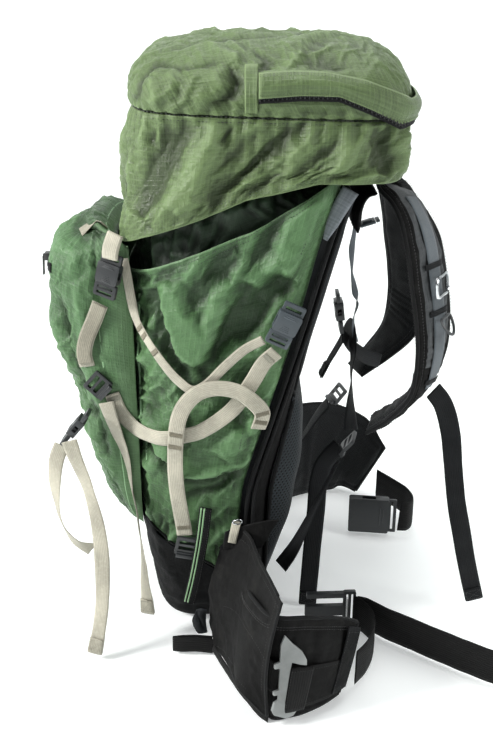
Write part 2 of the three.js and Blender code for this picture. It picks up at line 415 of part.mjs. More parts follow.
// ================================================================ webbing routes (mm): points along each strap and its width direction
const ROUTE = {
  lid_strap: { pts: [[-96.2,-111.7,463.4],[-105.4,-106.5,441.2],[-117,-105.5,414.7],[-120.6,-103.9,395.8],[-117.9,-104.2,379.7]],
    wide: [[0.9,-0.13,-0.41],[0.91,-0.13,-0.4],[0.94,-0.14,-0.32],[0.99,-0.15,-0.03],[0.97,-0.16,0.16]] },
  side_tail: { pts: [[-96.2,-112.2,334.4],[-91,-112.8,315.3],[-77.5,-109.2,262.3],[-68.9,-107.1,202.1],[-59.6,-126,158.6],[-54.6,-136,96.1],[-52.3,-141,41.2]],
    wide: [[0.95,-0.19,0.26],[0.95,-0.2,0.24],[0.96,-0.22,0.18],[0.96,-0.19,0.2],[0.99,-0.07,0.15],[1,0,0.06],[1,0,0.04]] },
  compression_strap: { pts: [[-89.2,-106.7,343.7],[-79,-107.4,318.1],[-63.2,-110.1,299.8],[-45.3,-125.9,296.9],[-24.3,-142.1,298.9],[3.5,-149.6,306.2],[22,-150,311.8],[46.7,-150.8,328.5],[65.1,-151.3,346.1],[86,-151.9,379.1],[100.2,-151.5,403.6],[114.4,-150.9,416.7]],
    wide: [[0.92,-0.16,0.37],[0.84,-0.16,0.51],[0.46,-0.17,0.87],[0.01,-0.02,1],[-0.16,0.06,0.99],[-0.27,-0.01,0.96],[-0.46,-0.04,0.89],[-0.62,-0.02,0.78],[-0.79,-0.03,0.61],[-0.85,-0.07,0.52],[-0.79,-0.13,0.6],[-0.66,-0.19,0.72]] },
  cross_strap: { pts: [[-66.7,-100.1,516.2],[-63.3,-104.1,496.2],[-59,-107.5,465.7],[-53.5,-113.4,442.6],[-37.5,-132.4,421.1],[-20.8,-143.3,399.4],[-1.7,-149.7,378.5],[14.7,-153.7,368.6],[30.4,-152.9,375.3],[53.4,-152.2,398.8],[77.2,-152.5,420.6],[98.9,-153.4,433]],
    wide: [[0.82,-0.53,0.24],[0.96,-0.23,0.18],[0.95,-0.22,0.21],[0.66,-0.47,0.58],[0.54,-0.44,0.72],[0.66,-0.31,0.68],[0.63,-0.13,0.77],[0.1,-0.02,0.99],[-0.61,-0.01,0.79],[-0.7,0,0.72],[-0.6,-0.02,0.8],[-0.5,-0.04,0.87]] },
  down_strap: { pts: [[93.3,-153.6,317.3],[98.1,-154.4,338.1],[88,-158.7,354.6],[71.1,-160.9,368.6],[47.2,-159.9,373.8],[26.7,-158.7,369.8],[10.8,-157.4,357.9],[-1.7,-155.6,336.2],[-7.9,-153.4,297],[-9,-147.4,239.3],[-4.7,-143.1,196.6],[-1.6,-140.5,171.4],[-0.7,-140.1,159.9]],
    wide: [[-0.92,-0.35,0.2],[-0.95,-0.25,-0.17],[-0.74,-0.05,-0.67],[-0.43,0.02,-0.9],[-0.03,0.03,-1],[0.4,0.02,-0.92],[0.76,-0.03,-0.65],[0.94,-0.15,-0.3],[0.97,-0.22,-0.09],[0.98,-0.18,0.01],[0.99,-0.07,0.1],[0.99,-0.02,0.11],[1,-0.02,0.08]] },
  front_loop: { pts: [[-154.8,-114,276],[-162.1,-116,258.6],[-166.3,-119,228.5],[-166,-121,193],[-160.3,-121,163.1],[-146.7,-119,137.6],[-126.1,-113,121.5]],
    wide: [[0.92,0,-0.38],[0.97,0,-0.23],[1,0,-0.06],[1,0,0.09],[0.94,0,0.33],[0.77,0,0.63],[0.62,0,0.79]] },
  long_tail: { pts: [[-140.2,-141,295.1],[-133.1,-142,269.2],[-119.3,-144,225],[-109.9,-149,180],[-106.2,-158,133.6],[-107.3,-171,81.6],[-112.1,-181,42.2],[-118,-188,12.8]],
    wide: [[0.96,0,0.27],[0.96,0,0.29],[0.97,0,0.25],[0.99,0,0.14],[1,0,0.03],[1,0,-0.06],[0.99,0,-0.15],[0.98,0,-0.2]] },
  shoulder_tail: { pts: [[311,-110,350],[324,-109,332],[337.5,-104,292.3],[346.2,-100,240.1],[355.2,-96,186.1],[366.6,-92,137.9],[380.6,-87,79.4],[396.8,-80,20.5]],
    wide: [[0.71,0.45,0.54],[0.83,0.37,0.42],[0.94,0.24,0.25],[0.97,0.19,0.18],[0.96,0.19,0.21],[0.95,0.19,0.24],[0.95,0.19,0.26],[0.94,0.19,0.28]] },
  hanging_strap: { pts: [[203,-66,250],[191,-66,238],[181,-66,222],[176,-67,200],[173,-67,150],[170,-67,100],[167,-68,50],[165,-69,5]],
    wide: [[0.7,-0.13,-0.7],[0.78,0.08,-0.62],[0.92,0.13,-0.37],[0.99,0.1,-0.11],[0.99,0.1,-0.06],[0.99,0.1,-0.06],[0.99,0.1,-0.05],[0.99,0.1,-0.05]] },
  draped_web: { pts: [[215,-80,281],[214,-70,300],[215,-50,328],[218,-26,356],[221,-4,377],[221,10,385],[217,31,382],[207,36,358],[194,36,332],[183,34,310]],
    wide: [[-0.8,-0.55,0.25],[-0.81,-0.49,0.31],[-0.79,-0.46,0.41],[-0.76,-0.43,0.5],[-0.8,-0.34,0.5],[-0.85,-0.17,0.49],[-0.88,0.01,0.47],[-0.9,0.12,0.42],[-0.89,0.14,0.44],[-0.89,0.14,0.43]] },
  sternum_strap: { pts: [[206,-6,385],[212,4,374],[228,24,352],[248,47,332],[268,69,318]],
    wide: [[0,0.74,0.67],[0.11,0.7,0.71],[0.25,0.56,0.79],[0.28,0.4,0.87],[0.27,0.33,0.9]] },
  belt_tail: { pts: [[229,-119,27],[242,-124,27],[262,-143,27],[300,-173,27],[345,-206,27],[386,-235,27],[425,-257,27],[462,-273,27],[492,-283,27]],
    wide: [[0,0,1],[0,0,1],[0,0,1],[0,0,1],[0,0,1],[0,0,1],[0,0,1],[0,0,1],[0,0,1]] },
};
const flat = (name, r, w, t = WEB_T, steps = 0, color = C.tan, parent = pack) => add(name, strap(r.pts, r.wide, w, t, steps), color, 0.9, 0, parent);
const flip = r => ({ pts: mirror(r.pts), wide: mirror(r.wide) });

// ================================================================ lid straps and side compression
for (const [side, s] of [['near', 1], ['far', -1]]) {
  const at = [-88.3, -116 * s, 482.3], across = [0.92, 0.38 * s * -1, -0.23], along = [0.246, 0, 0.969];
  set(add('lid_buckle_female_' + side, buckleFemale(WEB20), C.plastic, 0.45, 0, lid), at, across, along);
  set(add('lid_buckle_male_' + side, buckleMale(WEB20), C.plastic, 0.45), at, across, along);
  flat('lid_strap_' + side, s > 0 ? ROUTE.lid_strap : flip(ROUTE.lid_strap), WEB20, WEB_T, 10);
}
set(add('side_adjuster', ladderLock(WEB20), C.plastic, 0.5), [-105.6, -107, 356], [0.65, -0.1, 0.76], [-0.74, 0.12, 0.66]);
flat('side_tail', ROUTE.side_tail, WEB20, WEB_T, 16);
flat('compression_strap', ROUTE.compression_strap, WEB20, WEB_T, 22);
{
  const at = [116.8, -158, 436.5], across = [0.9, 0.02, -0.43], along = [0.43, -0.02, 0.9];
  set(add('compression_buckle_female', buckleFemale(WEB20), C.grey, 0.45), at, across, along);
  set(add('compression_buckle_male', buckleMale(WEB20), C.grey, 0.45), at, across, along);
}
flat('cross_strap', ROUTE.cross_strap, WEB20 * 0.6, WEB_T, 22);
flat('down_strap', ROUTE.down_strap, WEB20, WEB_T, 26);
set(add('lower_adjuster', ladderLock(WEB20), C.plastic, 0.5), [1.6, -141, 143.5], [0.98, 0.02, -0.2], [0.2, -0.1, 0.98]);

// ================================================================ front pocket strap
set(add('front_buckle', join(buckleFemale(WEB20), buckleMale(WEB20).translate(0, 0, 1.6)), C.plastic, 0.45), [-147, -121, 290], [0.1, 0.99, 0], [0.66, 0.05, 0.75]);
flat('front_loop', ROUTE.front_loop, WEB20, WEB_T, 14);
flat('front_tail', ROUTE.long_tail, WEB20, WEB_T, 16);

// ================================================================ zip sliders
function zipSlider() {
  const body = join(box(13, 6, 9), box(5, 3, 5, 0, -4, 0));
  return join(body, box(5, 2, 24, 0, -5, -12.5));
}
set(add('lid_zip_slider', zipSlider(), C.plastic, 0.4, 0.3, lid), [68, 162.5, 700], [-1, 0, 0], [0, 0, 1]);
set(add('pocket_zip_slider', zipSlider(), C.plastic, 0.4, 0.3), [-171.5, -30, 500], [0, -1, 0], [0.05, 0, 1]);

// ================================================================ haul loop on top of the back panel
add('haul_loop', strap([[209, -34, 600], [212, -30, 611], [216, -16, 622], [218, 0, 625], [216, 16, 622], [212, 30, 611], [209, 34, 600]], [[1, 0, 0], [1, 0, 0], [1, 0, 0], [1, 0, 0], [1, 0, 0], [1, 0, 0], [1, 0, 0]], 18, 3, 14), C.black);

// ================================================================ sternum strap
{
  const at = [202.8, -10, 401], across = [0, 1, 0], along = [-0.13, 0, 0.99];
  set(add('sternum_buckle_female', buckleFemale(WEB20), C.plastic, 0.45), at, across, along);
  set(add('sternum_buckle_male', buckleMale(WEB20), C.plastic, 0.45), at, across, along);
}
flat('sternum_strap', ROUTE.sternum_strap, WEB20, WEB_T, 10, C.black);

// ================================================================ free webbing of harness and belt
flat('shoulder_tail', ROUTE.shoulder_tail, WEB25, WEB_T, 18, C.black);
flat('hanging_strap', ROUTE.hanging_strap, WEB25, WEB_T, 16, C.black);
flat('draped_web', ROUTE.draped_web, WEB25, WEB_T, 24, C.black);
flat('belt_tail', ROUTE.belt_tail, WEB50, 1.8, 18, C.black, wingNear);

export default pack;
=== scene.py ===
"""Hiking backpack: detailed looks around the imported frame. Lengths in tables are millimetres in the pack's drawing frame; mm() turns them into the row frame in metres."""
import bpy, json, math
import numpy as np
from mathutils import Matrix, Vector

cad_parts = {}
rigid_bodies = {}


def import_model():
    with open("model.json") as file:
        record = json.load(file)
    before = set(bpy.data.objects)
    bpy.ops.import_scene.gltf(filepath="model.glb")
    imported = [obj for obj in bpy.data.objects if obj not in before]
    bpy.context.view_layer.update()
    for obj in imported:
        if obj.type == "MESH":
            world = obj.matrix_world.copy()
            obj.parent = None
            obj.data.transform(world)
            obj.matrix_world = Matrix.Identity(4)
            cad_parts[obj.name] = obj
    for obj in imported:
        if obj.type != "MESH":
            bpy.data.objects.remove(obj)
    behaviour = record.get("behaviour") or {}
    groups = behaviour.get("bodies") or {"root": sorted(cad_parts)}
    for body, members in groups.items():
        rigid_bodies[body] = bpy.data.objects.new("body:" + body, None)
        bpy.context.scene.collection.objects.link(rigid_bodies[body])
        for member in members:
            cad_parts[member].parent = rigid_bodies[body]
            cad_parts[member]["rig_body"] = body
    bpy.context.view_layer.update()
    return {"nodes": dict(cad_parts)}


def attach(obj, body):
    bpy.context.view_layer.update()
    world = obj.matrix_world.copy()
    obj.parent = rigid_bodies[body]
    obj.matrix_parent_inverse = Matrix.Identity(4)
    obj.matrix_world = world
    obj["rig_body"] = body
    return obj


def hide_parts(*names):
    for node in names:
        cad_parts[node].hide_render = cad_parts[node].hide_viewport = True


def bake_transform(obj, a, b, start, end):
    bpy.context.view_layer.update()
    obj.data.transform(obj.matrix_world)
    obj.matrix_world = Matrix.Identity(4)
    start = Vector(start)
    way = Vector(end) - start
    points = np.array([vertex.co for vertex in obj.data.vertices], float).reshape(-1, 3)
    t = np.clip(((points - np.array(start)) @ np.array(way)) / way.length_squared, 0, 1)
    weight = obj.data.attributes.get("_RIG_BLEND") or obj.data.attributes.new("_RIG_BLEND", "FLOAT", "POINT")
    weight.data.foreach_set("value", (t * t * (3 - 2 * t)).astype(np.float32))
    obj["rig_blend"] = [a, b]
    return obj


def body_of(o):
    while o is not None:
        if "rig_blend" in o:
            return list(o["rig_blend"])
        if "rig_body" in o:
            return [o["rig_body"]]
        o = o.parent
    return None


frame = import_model()
OFF = np.array([82.42, -20.4, 0.0])
mm = lambda p: (np.asarray(p, float) - OFF) / 1000.0
scene = bpy.context.scene

# ------------------------------------------------------------------ camera
cam_data = bpy.data.cameras.new("camera")
cam_data.lens = 48.0
cam_data.sensor_width = 36.0
cam_data.clip_end = 50.0
cam = bpy.data.objects.new("camera", cam_data)
cam.location = (-0.00342, -1.2296, 0.845)
cam.rotation_euler = (math.radians(90 - 22.6), 0, 0)
scene.collection.objects.link(cam)
scene.camera = cam

# ------------------------------------------------------------------ numbers
def tab(T, z):
    T = np.asarray(T, float); xs, ys = T[:, 0], T[:, 1]
    z = np.clip(np.asarray(z, float), xs[0], xs[-1])
    i = np.clip(np.searchsorted(xs, z, side="left"), 1, len(xs) - 1)
    i0, i3 = np.maximum(i - 2, 0), np.minimum(i + 1, len(xs) - 1)
    x1, x2, y1, y2 = xs[i - 1], xs[i], ys[i - 1], ys[i]
    h = x2 - x1; t = (z - x1) / h
    m1 = np.where(i > 1, (y2 - ys[i0]) / np.maximum(x2 - xs[i0], 1e-9) * h, y2 - y1)
    m2 = np.where(i < len(xs) - 1, (ys[i3] - y1) / np.maximum(xs[i3] - x1, 1e-9) * h, y2 - y1)
    t2, t3 = t * t, t * t * t
    return (2 * t3 - 3 * t2 + 1) * y1 + (t3 - 2 * t2 + t) * m1 + (-2 * t3 + 3 * t2) * y2 + (t3 - t2) * m2

def _hash(ix, iy, iz, seed):
    h = (ix * 374761393 + iy * 668265263 + iz * 1274126177 + seed * 974711) & 0xFFFFFFFF
    h = ((h ^ (h >> 13)) * 1103515245) & 0xFFFFFFFF
    h = ((h ^ (h >> 16)) * 747796405) & 0xFFFFFFFF
    return ((h ^ (h >> 11)) & 0xFFFF) / 65535.0

def vnoise(p, seed=0):
    p = np.asarray(p, float); i = np.floor(p).astype(np.int64); f = p - i; u = f * f * (3 - 2 * f)
    out = 0
    for dx in (0, 1):
        for dy in (0, 1):
            for dz in (0, 1):
                w = (u[..., 0] if dx else 1 - u[..., 0]) * (u[..., 1] if dy else 1 - u[..., 1]) * (u[..., 2] if dz else 1 - u[..., 2])
                out = out + w * _hash(i[..., 0] + dx, i[..., 1] + dy, i[..., 2] + dz, seed)
    return out * 2 - 1

def fbm(p, size, seed=0, octaves=3, gain=0.5):
    p = np.asarray(p, float) / np.asarray(size, float); a, out = 1.0, 0
    for k in range(octaves):
        out = out + a * vnoise(p * 2 ** k + 17.3 * k, seed + k); a *= gain
    return out

def ridged(p, size, seed=0, octaves=2):
    p = np.asarray(p, float) / np.asarray(size, float); a, out = 1.0, 0
    for k in range(octaves):
        out = out + a * (1 - 2 * np.abs(vnoise(p * 2 ** k + 9.1 * k, seed + k))); a *= 0.5
    return out

def crumple(P, size, seed=0, lean=(0.5, 0.0), sharp=1.6):
    """sharp-edged folds as crushed cloth has: bent ridges that run mostly one way"""
    P = np.asarray(P, float); w = np.stack([vnoise(P / (size * 1.7), seed + 11), vnoise(P / (size * 1.7) + 5.3, seed + 12), vnoise(P / (size * 1.7) + 9.1, seed + 13)], -1) * size * 0.38
    Q = P + w; X, Z = Q[..., 0] + lean[0] * Q[..., 2], Q[..., 2] - lean[0] * Q[..., 0]
    R = np.stack([X / size, Q[..., 1] / (size * 1.6), Z / (size * 3.6)], -1); n = np.abs(vnoise(R, seed)); n2 = np.abs(vnoise(R * 2.1 + 3.7, seed + 1))
    return (1 - np.clip(n * 2.4, 0, 1)) ** sharp - 0.45 + 0.45 * ((1 - np.clip(n2 * 2.4, 0, 1)) ** sharp - 0.45)

def pleat(P, wl, seed=0, lean=0.5, warp=0.8):
    """long folds with a sharp crest, side by side, that fade in and out"""
    P = np.asarray(P, float); k = wl * np.sqrt(1 + lean * lean)
    s = (P[..., 0] + lean * P[..., 2] + 0.35 * P[..., 1]) / k + warp * vnoise(P / (wl * 2.7), seed) + 0.25 * vnoise(P / (wl * 1.0), seed + 1)
    t = np.abs((s % 1) - .5) * 2; amp = smooth(vnoise(P / (wl * 2.3), seed + 5), -0.35, 0.45)
    return (t ** 1.7 - .37) * amp

def press(P, N, d, keys, gap=2.0, side=0):
    """keeps cloth under the straps that lie on it: lowers d near each strap's route. Returns d and how close a strap is."""
    A, B = P.reshape(-1, 3), N.reshape(-1, 3); out = np.asarray(np.broadcast_to(d, P.shape[:-1]), float).reshape(-1).copy(); hold = np.zeros(len(A))
    for key, width in keys:
        for m in ((1, -1) if side == 0 else (side,)):
            c, s, L, f = resample(np.array(ROUTE[key][0]) * [1, m, 1], 5.0)
            lo, hi = c.min(0) - 40, c.max(0) + 40; near = np.nonzero(((A > lo) & (A < hi)).all(1))[0]
            if not len(near): continue
            D = A[near][:, None] - c[None]; r2 = (D ** 2).sum(-1); k = r2.argmin(1); v = c[k] - A[near]; h = (v * B[near]).sum(1); lat = np.sqrt(np.maximum((v ** 2).sum(1) - h ** 2, 0))
            ok = (h > -14) & (h < 16); w = 1 - smooth(lat, width / 2 + 2, width / 2 + 16); lim = h - gap
            new = np.where(out[near] > lim, out[near] * (1 - w) + lim * w, out[near]); out[near] = np.where(ok, new, out[near]); hold[near] = np.maximum(hold[near], np.where(ok & (h < 9), w, 0))
    return out.reshape(P.shape[:-1]), hold.reshape(P.shape[:-1])

def smooth(x, a, b):
    t = np.clip((np.asarray(x, float) - a) / (b - a), 0, 1); return t * t * (3 - 2 * t)

def catmull(P, n):
    """n+1 points and tangents on a centripetal Catmull-Rom curve through P, even in the parameter"""
    P = np.asarray(P, float); m = len(P)
    t = np.linspace(0, m - 1, n + 1); i = np.minimum(np.floor(t).astype(int), m - 2); u = t - i
    def pt(k):
        if k < 0: return 2 * P[0] - P[1]
        if k >= m: return 2 * P[-1] - P[-2]
        return P[k]
    out, tan = np.zeros((n + 1, 3)), np.zeros((n + 1, 3))
    for q in range(n + 1):
        p0, p1, p2, p3 = pt(i[q] - 1), P[i[q]], P[i[q] + 1], pt(i[q] + 2)
        d0, d1, d2 = [max(np.linalg.norm(a - b) ** 0.5, 1e-4) for a, b in ((p1, p0), (p2, p1), (p3, p2))]
        t1 = ((p1 - p0) / d0 - (p2 - p0) / (d0 + d1) + (p2 - p1) / d1) * d1
        t2 = ((p2 - p1) / d1 - (p3 - p1) / (d1 + d2) + (p3 - p2) / d2) * d1
        c2 = -3 * p1 + 3 * p2 - 2 * t1 - t2; c3 = 2 * p1 - 2 * p2 + t1 + t2
        s = u[q]
        out[q] = p1 + t1 * s + c2 * s * s + c3 * s ** 3
        tan[q] = t1 + 2 * c2 * s + 3 * c3 * s * s
    return out, tan / np.maximum(np.linalg.norm(tan, axis=1, keepdims=True), 1e-9)

def resample(P, step):
    c, _ = catmull(P, (len(P) - 1) * 24)
    s = np.r_[0, np.cumsum(np.linalg.norm(np.diff(c, axis=0), axis=1))]
    n = max(2, int(round(s[-1] / step)))
    q = np.linspace(0, s[-1], n + 1)
    c2 = np.stack([np.interp(q, s, c[:, k]) for k in range(3)], 1)
    return c2, q, s[-1], np.interp(q, s, np.linspace(0, len(P) - 1, len(c)))

def lerp_rows(A, f):
    A = np.asarray(A, float); f = np.clip(f, 0, len(A) - 1); i = np.minimum(f.astype(int), len(A) - 2); u = (f - i)
    return A[i] * (1 - u).reshape(-1, *([1] * (A.ndim - 1))) + A[i + 1] * u.reshape(-1, *([1] * (A.ndim - 1)))

def unit(a): return a / np.maximum(np.linalg.norm(a, axis=-1, keepdims=True), 1e-12)

def grid_normals(P, closed_u=False):
    if closed_u:
        du = np.roll(P, -1, 1) - np.roll(P, 1, 1)
    else:
        du = np.gradient(P, axis=1)
    dv = np.gradient(P, axis=0)
    return unit(np.cross(du, dv))

def creases(P, lines, near=True, swap=None):
    """displacement along the normal from fold lines given as (x, z) polylines on the side of the pack.
    A line is (points, width, height, [sharpness])."""
    out = np.zeros(P.shape[:-1])
    X, Z = P[..., 0], P[..., 2]
    side = smooth(-P[..., 1] if near else P[..., 1], 20, 70)
    for line in lines:
        pts, w, h = line[0], line[1], line[2]; sharp = line[3] if len(line) > 3 else 1.0
        pts = np.asarray(pts, float)
        c, _ = catmull(np.c_[pts[:, 0], pts[:, 1], np.zeros(len(pts))], (len(pts) - 1) * 8)
        c = c[:, :2]; L = len(c) - 1
        best = np.full(X.shape, 1e9); along = np.zeros(X.shape); sign = np.zeros(X.shape)
        for k in range(L):
            a, b = c[k], c[k + 1]; d = b - a; l2 = d @ d
            t = np.clip(((X - a[0]) * d[0] + (Z - a[1]) * d[1]) / l2, 0, 1)
            ex, ez = X - a[0] - t * d[0], Z - a[1] - t * d[1]
            r = np.hypot(ex, ez); m = r < best
            best = np.where(m, r, best); along = np.where(m, (k + t) / L, along)
        taper = np.sin(np.pi * np.clip(along, 0, 1)) ** 0.45 if sharp < 5 else 1.0
        prof = np.exp(-np.abs(best / w) ** (2.0 if sharp == 1.0 else 1.35))
        out = out + h * prof * taper
    return out * side

# ------------------------------------------------------------------ meshes
def make(name, V, F, mats, smooth_on=True, fab=None, mat_index=None, metres=False):
    V = np.asarray(V, float).reshape(-1, 3); V = V if metres else mm(V)
    me = bpy.data.meshes.new(name)
    F = [list(map(int, f)) for f in F] if not isinstance(F, np.ndarray) else F
    if isinstance(F, np.ndarray):
        n = F.shape[0]; k = F.shape[1]
        me.vertices.add(len(V)); me.vertices.foreach_set("co", V.astype(np.float32).ravel())
        me.loops.add(n * k); me.loops.foreach_set("vertex_index", F.astype(np.int32).ravel())
        me.polygons.add(n); me.polygons.foreach_set("loop_start", (np.arange(n) * k).astype(np.int32))
        try: me.polygons.foreach_set("loop_total", np.full(n, k, np.int32))
        except Exception: pass
        me.update(calc_edges=True)
    else:
        me.from_pydata(V.tolist(), [], F)
    me.validate()
    if fab is not None:
        a = me.attributes.new("fab", "FLOAT_VECTOR", "POINT")
        a.data.foreach_set("vector", np.asarray(fab, np.float32).reshape(-1))
    for m in (mats if isinstance(mats, (list, tuple)) else [mats]):
        me.materials.append(m)
    me.polygons.foreach_set("use_smooth", np.full(len(me.polygons), smooth_on))
    if mat_index is not None: me.polygons.foreach_set("material_index", np.asarray(mat_index, np.int32))
    me.update()
    o = bpy.data.objects.new(name, me); scene.collection.objects.link(o)
    return o

def grid_faces(nv, nu, closed_u=False, closed_v=False, flip=False):
    I = np.arange(nv * nu).reshape(nv, nu)
    if closed_u: I = np.c_[I, I[:, :1]]
    if closed_v: I = np.r_[I, I[:1]]
    a, b, c, d = I[:-1, :-1], I[:-1, 1:], I[1:, 1:], I[1:, :-1]
    F = np.stack([a, b, c, d], -1).reshape(-1, 4)
    return F[:, ::-1] if flip else F

def grid_fab(P, closed_u=False):
    du = np.linalg.norm(np.diff(P, axis=1), axis=2); dv = np.linalg.norm(np.diff(P, axis=0), axis=2)
    u = np.concatenate([np.zeros((P.shape[0], 1)), np.cumsum(du, 1)], 1); u = np.tile(u[u.shape[0] // 2], (P.shape[0], 1))
    v = np.concatenate([np.zeros((1, P.shape[1])), np.cumsum(dv, 0)], 0); v = np.tile(v.mean(1)[:, None], (1, P.shape[1]))
    return np.stack([u, v, np.zeros_like(u)], -1).reshape(-1, 3)

def with_folds(P, d, closed_u=False):
    """cloth coordinates whose third number says how deep in a fold (below 0) or how proud (above 0) the cloth is; the
    cloth materials use it for painted shade in the folds and painted highlight on the proud cloth
    """
    fab = grid_fab(P, closed_u).reshape(P.shape); d = 0.25 * np.roll(d, 1, 0) + 0.5 * np.asarray(d, float) + 0.25 * np.roll(d, -1, 0); b = d.copy()
    for _ in range(22):
        b = 0.5 * b + 0.25 * (np.roll(b, 2, 1) + np.roll(b, -2, 1)) if closed_u else b
        q = b.copy(); q[2:-2] = 0.5 * b[2:-2] + 0.25 * (b[4:] + b[:-4])
        if not closed_u: q[:, 2:-2] = 0.5 * q[:, 2:-2] + 0.25 * (q[:, 4:] + q[:, :-4])
        b = q
    fab[..., 2] = np.clip((d - b) / 5.0, -1, 1); return fab.reshape(-1, 3)

def surface(name, P, mats, closed_u=False, flip=False, fab=None, **k):
    return make(name, P.reshape(-1, 3), grid_faces(P.shape[0], P.shape[1], closed_u, flip=flip), mats, fab=grid_fab(P) if fab is None else fab, **k)

def apply_mods(o):
    dg = bpy.context.evaluated_depsgraph_get(); dg.update()
    me = bpy.data.meshes.new_from_object(o.evaluated_get(dg), preserve_all_data_layers=True, depsgraph=dg)
    o.modifiers.clear(); old = o.data; o.data = me; bpy.data.meshes.remove(old)
    return o

def thicken(o, t=1.2, offset=-1.0, levels=0):
    s = o.modifiers.new("wall", "SOLIDIFY"); s.thickness = t / 1000; s.offset = offset; s.use_even_offset = False; s.use_rim = True
    if levels:
        u = o.modifiers.new("sub", "SUBSURF"); u.levels = u.render_levels = levels
    return apply_mods(o)

def cloth(o, pin, frames=18, pressure=2.0, shrink=-0.05, cap=12.0, bend=0.6, tension=12, mass=0.25, quality=4, lo_z=None):
    """swells and wrinkles a piece: the cloth is a little larger than its shape, held where pin is 1"""
    me = o.data; n = len(me.vertices)
    rest = np.zeros(n * 3, np.float32); me.vertices.foreach_get("co", rest); rest = rest.reshape(-1, 3).astype(float)
    vg = o.vertex_groups.new(name="pin"); q = np.round(np.clip(np.asarray(pin, float).ravel(), 0, 1) * 20).astype(int)
    for val in np.unique(q):
        if val: vg.add([int(i) for i in np.nonzero(q == val)[0]], float(val) / 20, "REPLACE")
    m = o.modifiers.new("Cloth", "CLOTH"); s = m.settings
    s.quality = quality; s.mass = mass; s.tension_stiffness = tension; s.compression_stiffness = tension; s.shear_stiffness = tension * 0.6; s.bending_stiffness = bend
    s.tension_damping = 8; s.compression_damping = 8; s.shear_damping = 8; s.bending_damping = 0.5; s.air_damping = 3
    s.use_pressure = pressure != 0; s.uniform_pressure_force = pressure; s.shrink_min = shrink; s.shrink_max = shrink
    s.effector_weights.gravity = 0; s.vertex_group_mass = "pin"; s.pin_stiffness = 1.0
    m.collision_settings.use_collision = False; m.collision_settings.use_self_collision = False
    m.point_cache.frame_start = 1; m.point_cache.frame_end = frames + 2
    scene.frame_start = 1; scene.frame_end = frames + 2
    for f in range(1, frames + 1): scene.frame_set(f)
    dg = bpy.context.evaluated_depsgraph_get(); e = o.evaluated_get(dg); em = e.to_mesh()
    new = np.zeros(len(em.vertices) * 3, np.float32); em.vertices.foreach_get("co", new); e.to_mesh_clear()
    o.modifiers.remove(m); o.vertex_groups.remove(vg); scene.frame_set(1)
    if len(new) == n * 3:
        d = new.reshape(-1, 3).astype(float) - rest
        d = np.nan_to_num(d); l = np.linalg.norm(d, axis=1, keepdims=True); c = cap / 1000
        d = d * (np.tanh(l / c) * c / np.maximum(l, 1e-9)); co = rest + d
        if lo_z is not None: co[:, 2] = np.maximum(co[:, 2], lo_z)
        me.vertices.foreach_set("co", co.astype(np.float32).ravel()); me.update()
    return o

def settle(P, closed_u, steps=2):
    """light smoothing of a grid"""
    for _ in range(steps):
        A = P.copy()
        if closed_u: A = 0.5 * A + 0.25 * (np.roll(P, 1, 1) + np.roll(P, -1, 1))
        A[1:-1] = 0.5 * A[1:-1] + 0.25 * (A[2:] + A[:-2]); P = A
    return P

def join_meshes(name, parts, mats, **k):
    V, F, fab, mi, n = [], [], [], [], 0
    for p in parts:
        v, f = np.asarray(p[0], float).reshape(-1, 3), p[1]
        V.append(v); F += [[int(i) + n for i in q] for q in f]; fab.append(p[2] if len(p) > 2 and p[2] is not None else np.zeros_like(v)); mi += [p[3] if len(p) > 3 else 0] * len(f); n += len(v)
    return make(name, np.concatenate(V), F, mats, fab=np.concatenate(fab), mat_index=mi, **k)

def ribbon_data(pts, wide, width, t=1.6, step=3.0, na=9, widths=None, crown=0.15, wave=0.0, seed=1):
    """flat webbing with soft edges: vertices, faces, cloth coordinates and centre line"""
    c, s, L, f = resample(pts, step)
    W = lerp_rows(np.asarray(wide, float) if np.ndim(wide) == 2 else np.tile(np.asarray(wide, float), (len(pts), 1)), f)
    tan = unit(np.gradient(c, axis=0)); W = W - tan * (W * tan).sum(1, keepdims=True); W = unit(W)
    N = np.cross(tan, W); h = width / 2 if widths is None else np.interp(s / L, np.linspace(0, 1, len(widths)), widths) / 2
    h = np.broadcast_to(h, (len(c),))
    a = np.linspace(-1, 1, na); half = t / 2
    top = [(x, half * (1 - 0.75 * max(abs(x) - 0.9, 0) / 0.1)) for x in a]
    sec = top + [(1.0, 0.0)] + [(x, -y) for x, y in reversed(top)] + [(-1.0, 0.0)]
    sec = np.array(sec); bow = crown * t * (1 - sec[:, 0] ** 2)
    if wave: c = c + N * (wave * fbm(np.c_[s, 0 * s, 0 * s], 26.0, seed, 2))[:, None]
    P = c[:, None] + W[:, None] * (sec[:, 0][None, :, None] * h[:, None, None]) + N[:, None] * ((sec[:, 1] + bow)[None, :, None])
    n, k = len(c), len(sec)
    fab = np.zeros((n, k, 3)); fab[..., 0] = sec[:, 0][None] * h[:, None]; fab[..., 1] = s[:, None]; fab[..., 2] = L
    F = grid_faces(n, k, closed_u=True).tolist()
    F.append(list(range(k))[::-1]); F.append([(n - 1) * k + i for i in range(k)])
    return P.reshape(-1, 3), F, fab.reshape(-1, 3), c, W, N, s, L

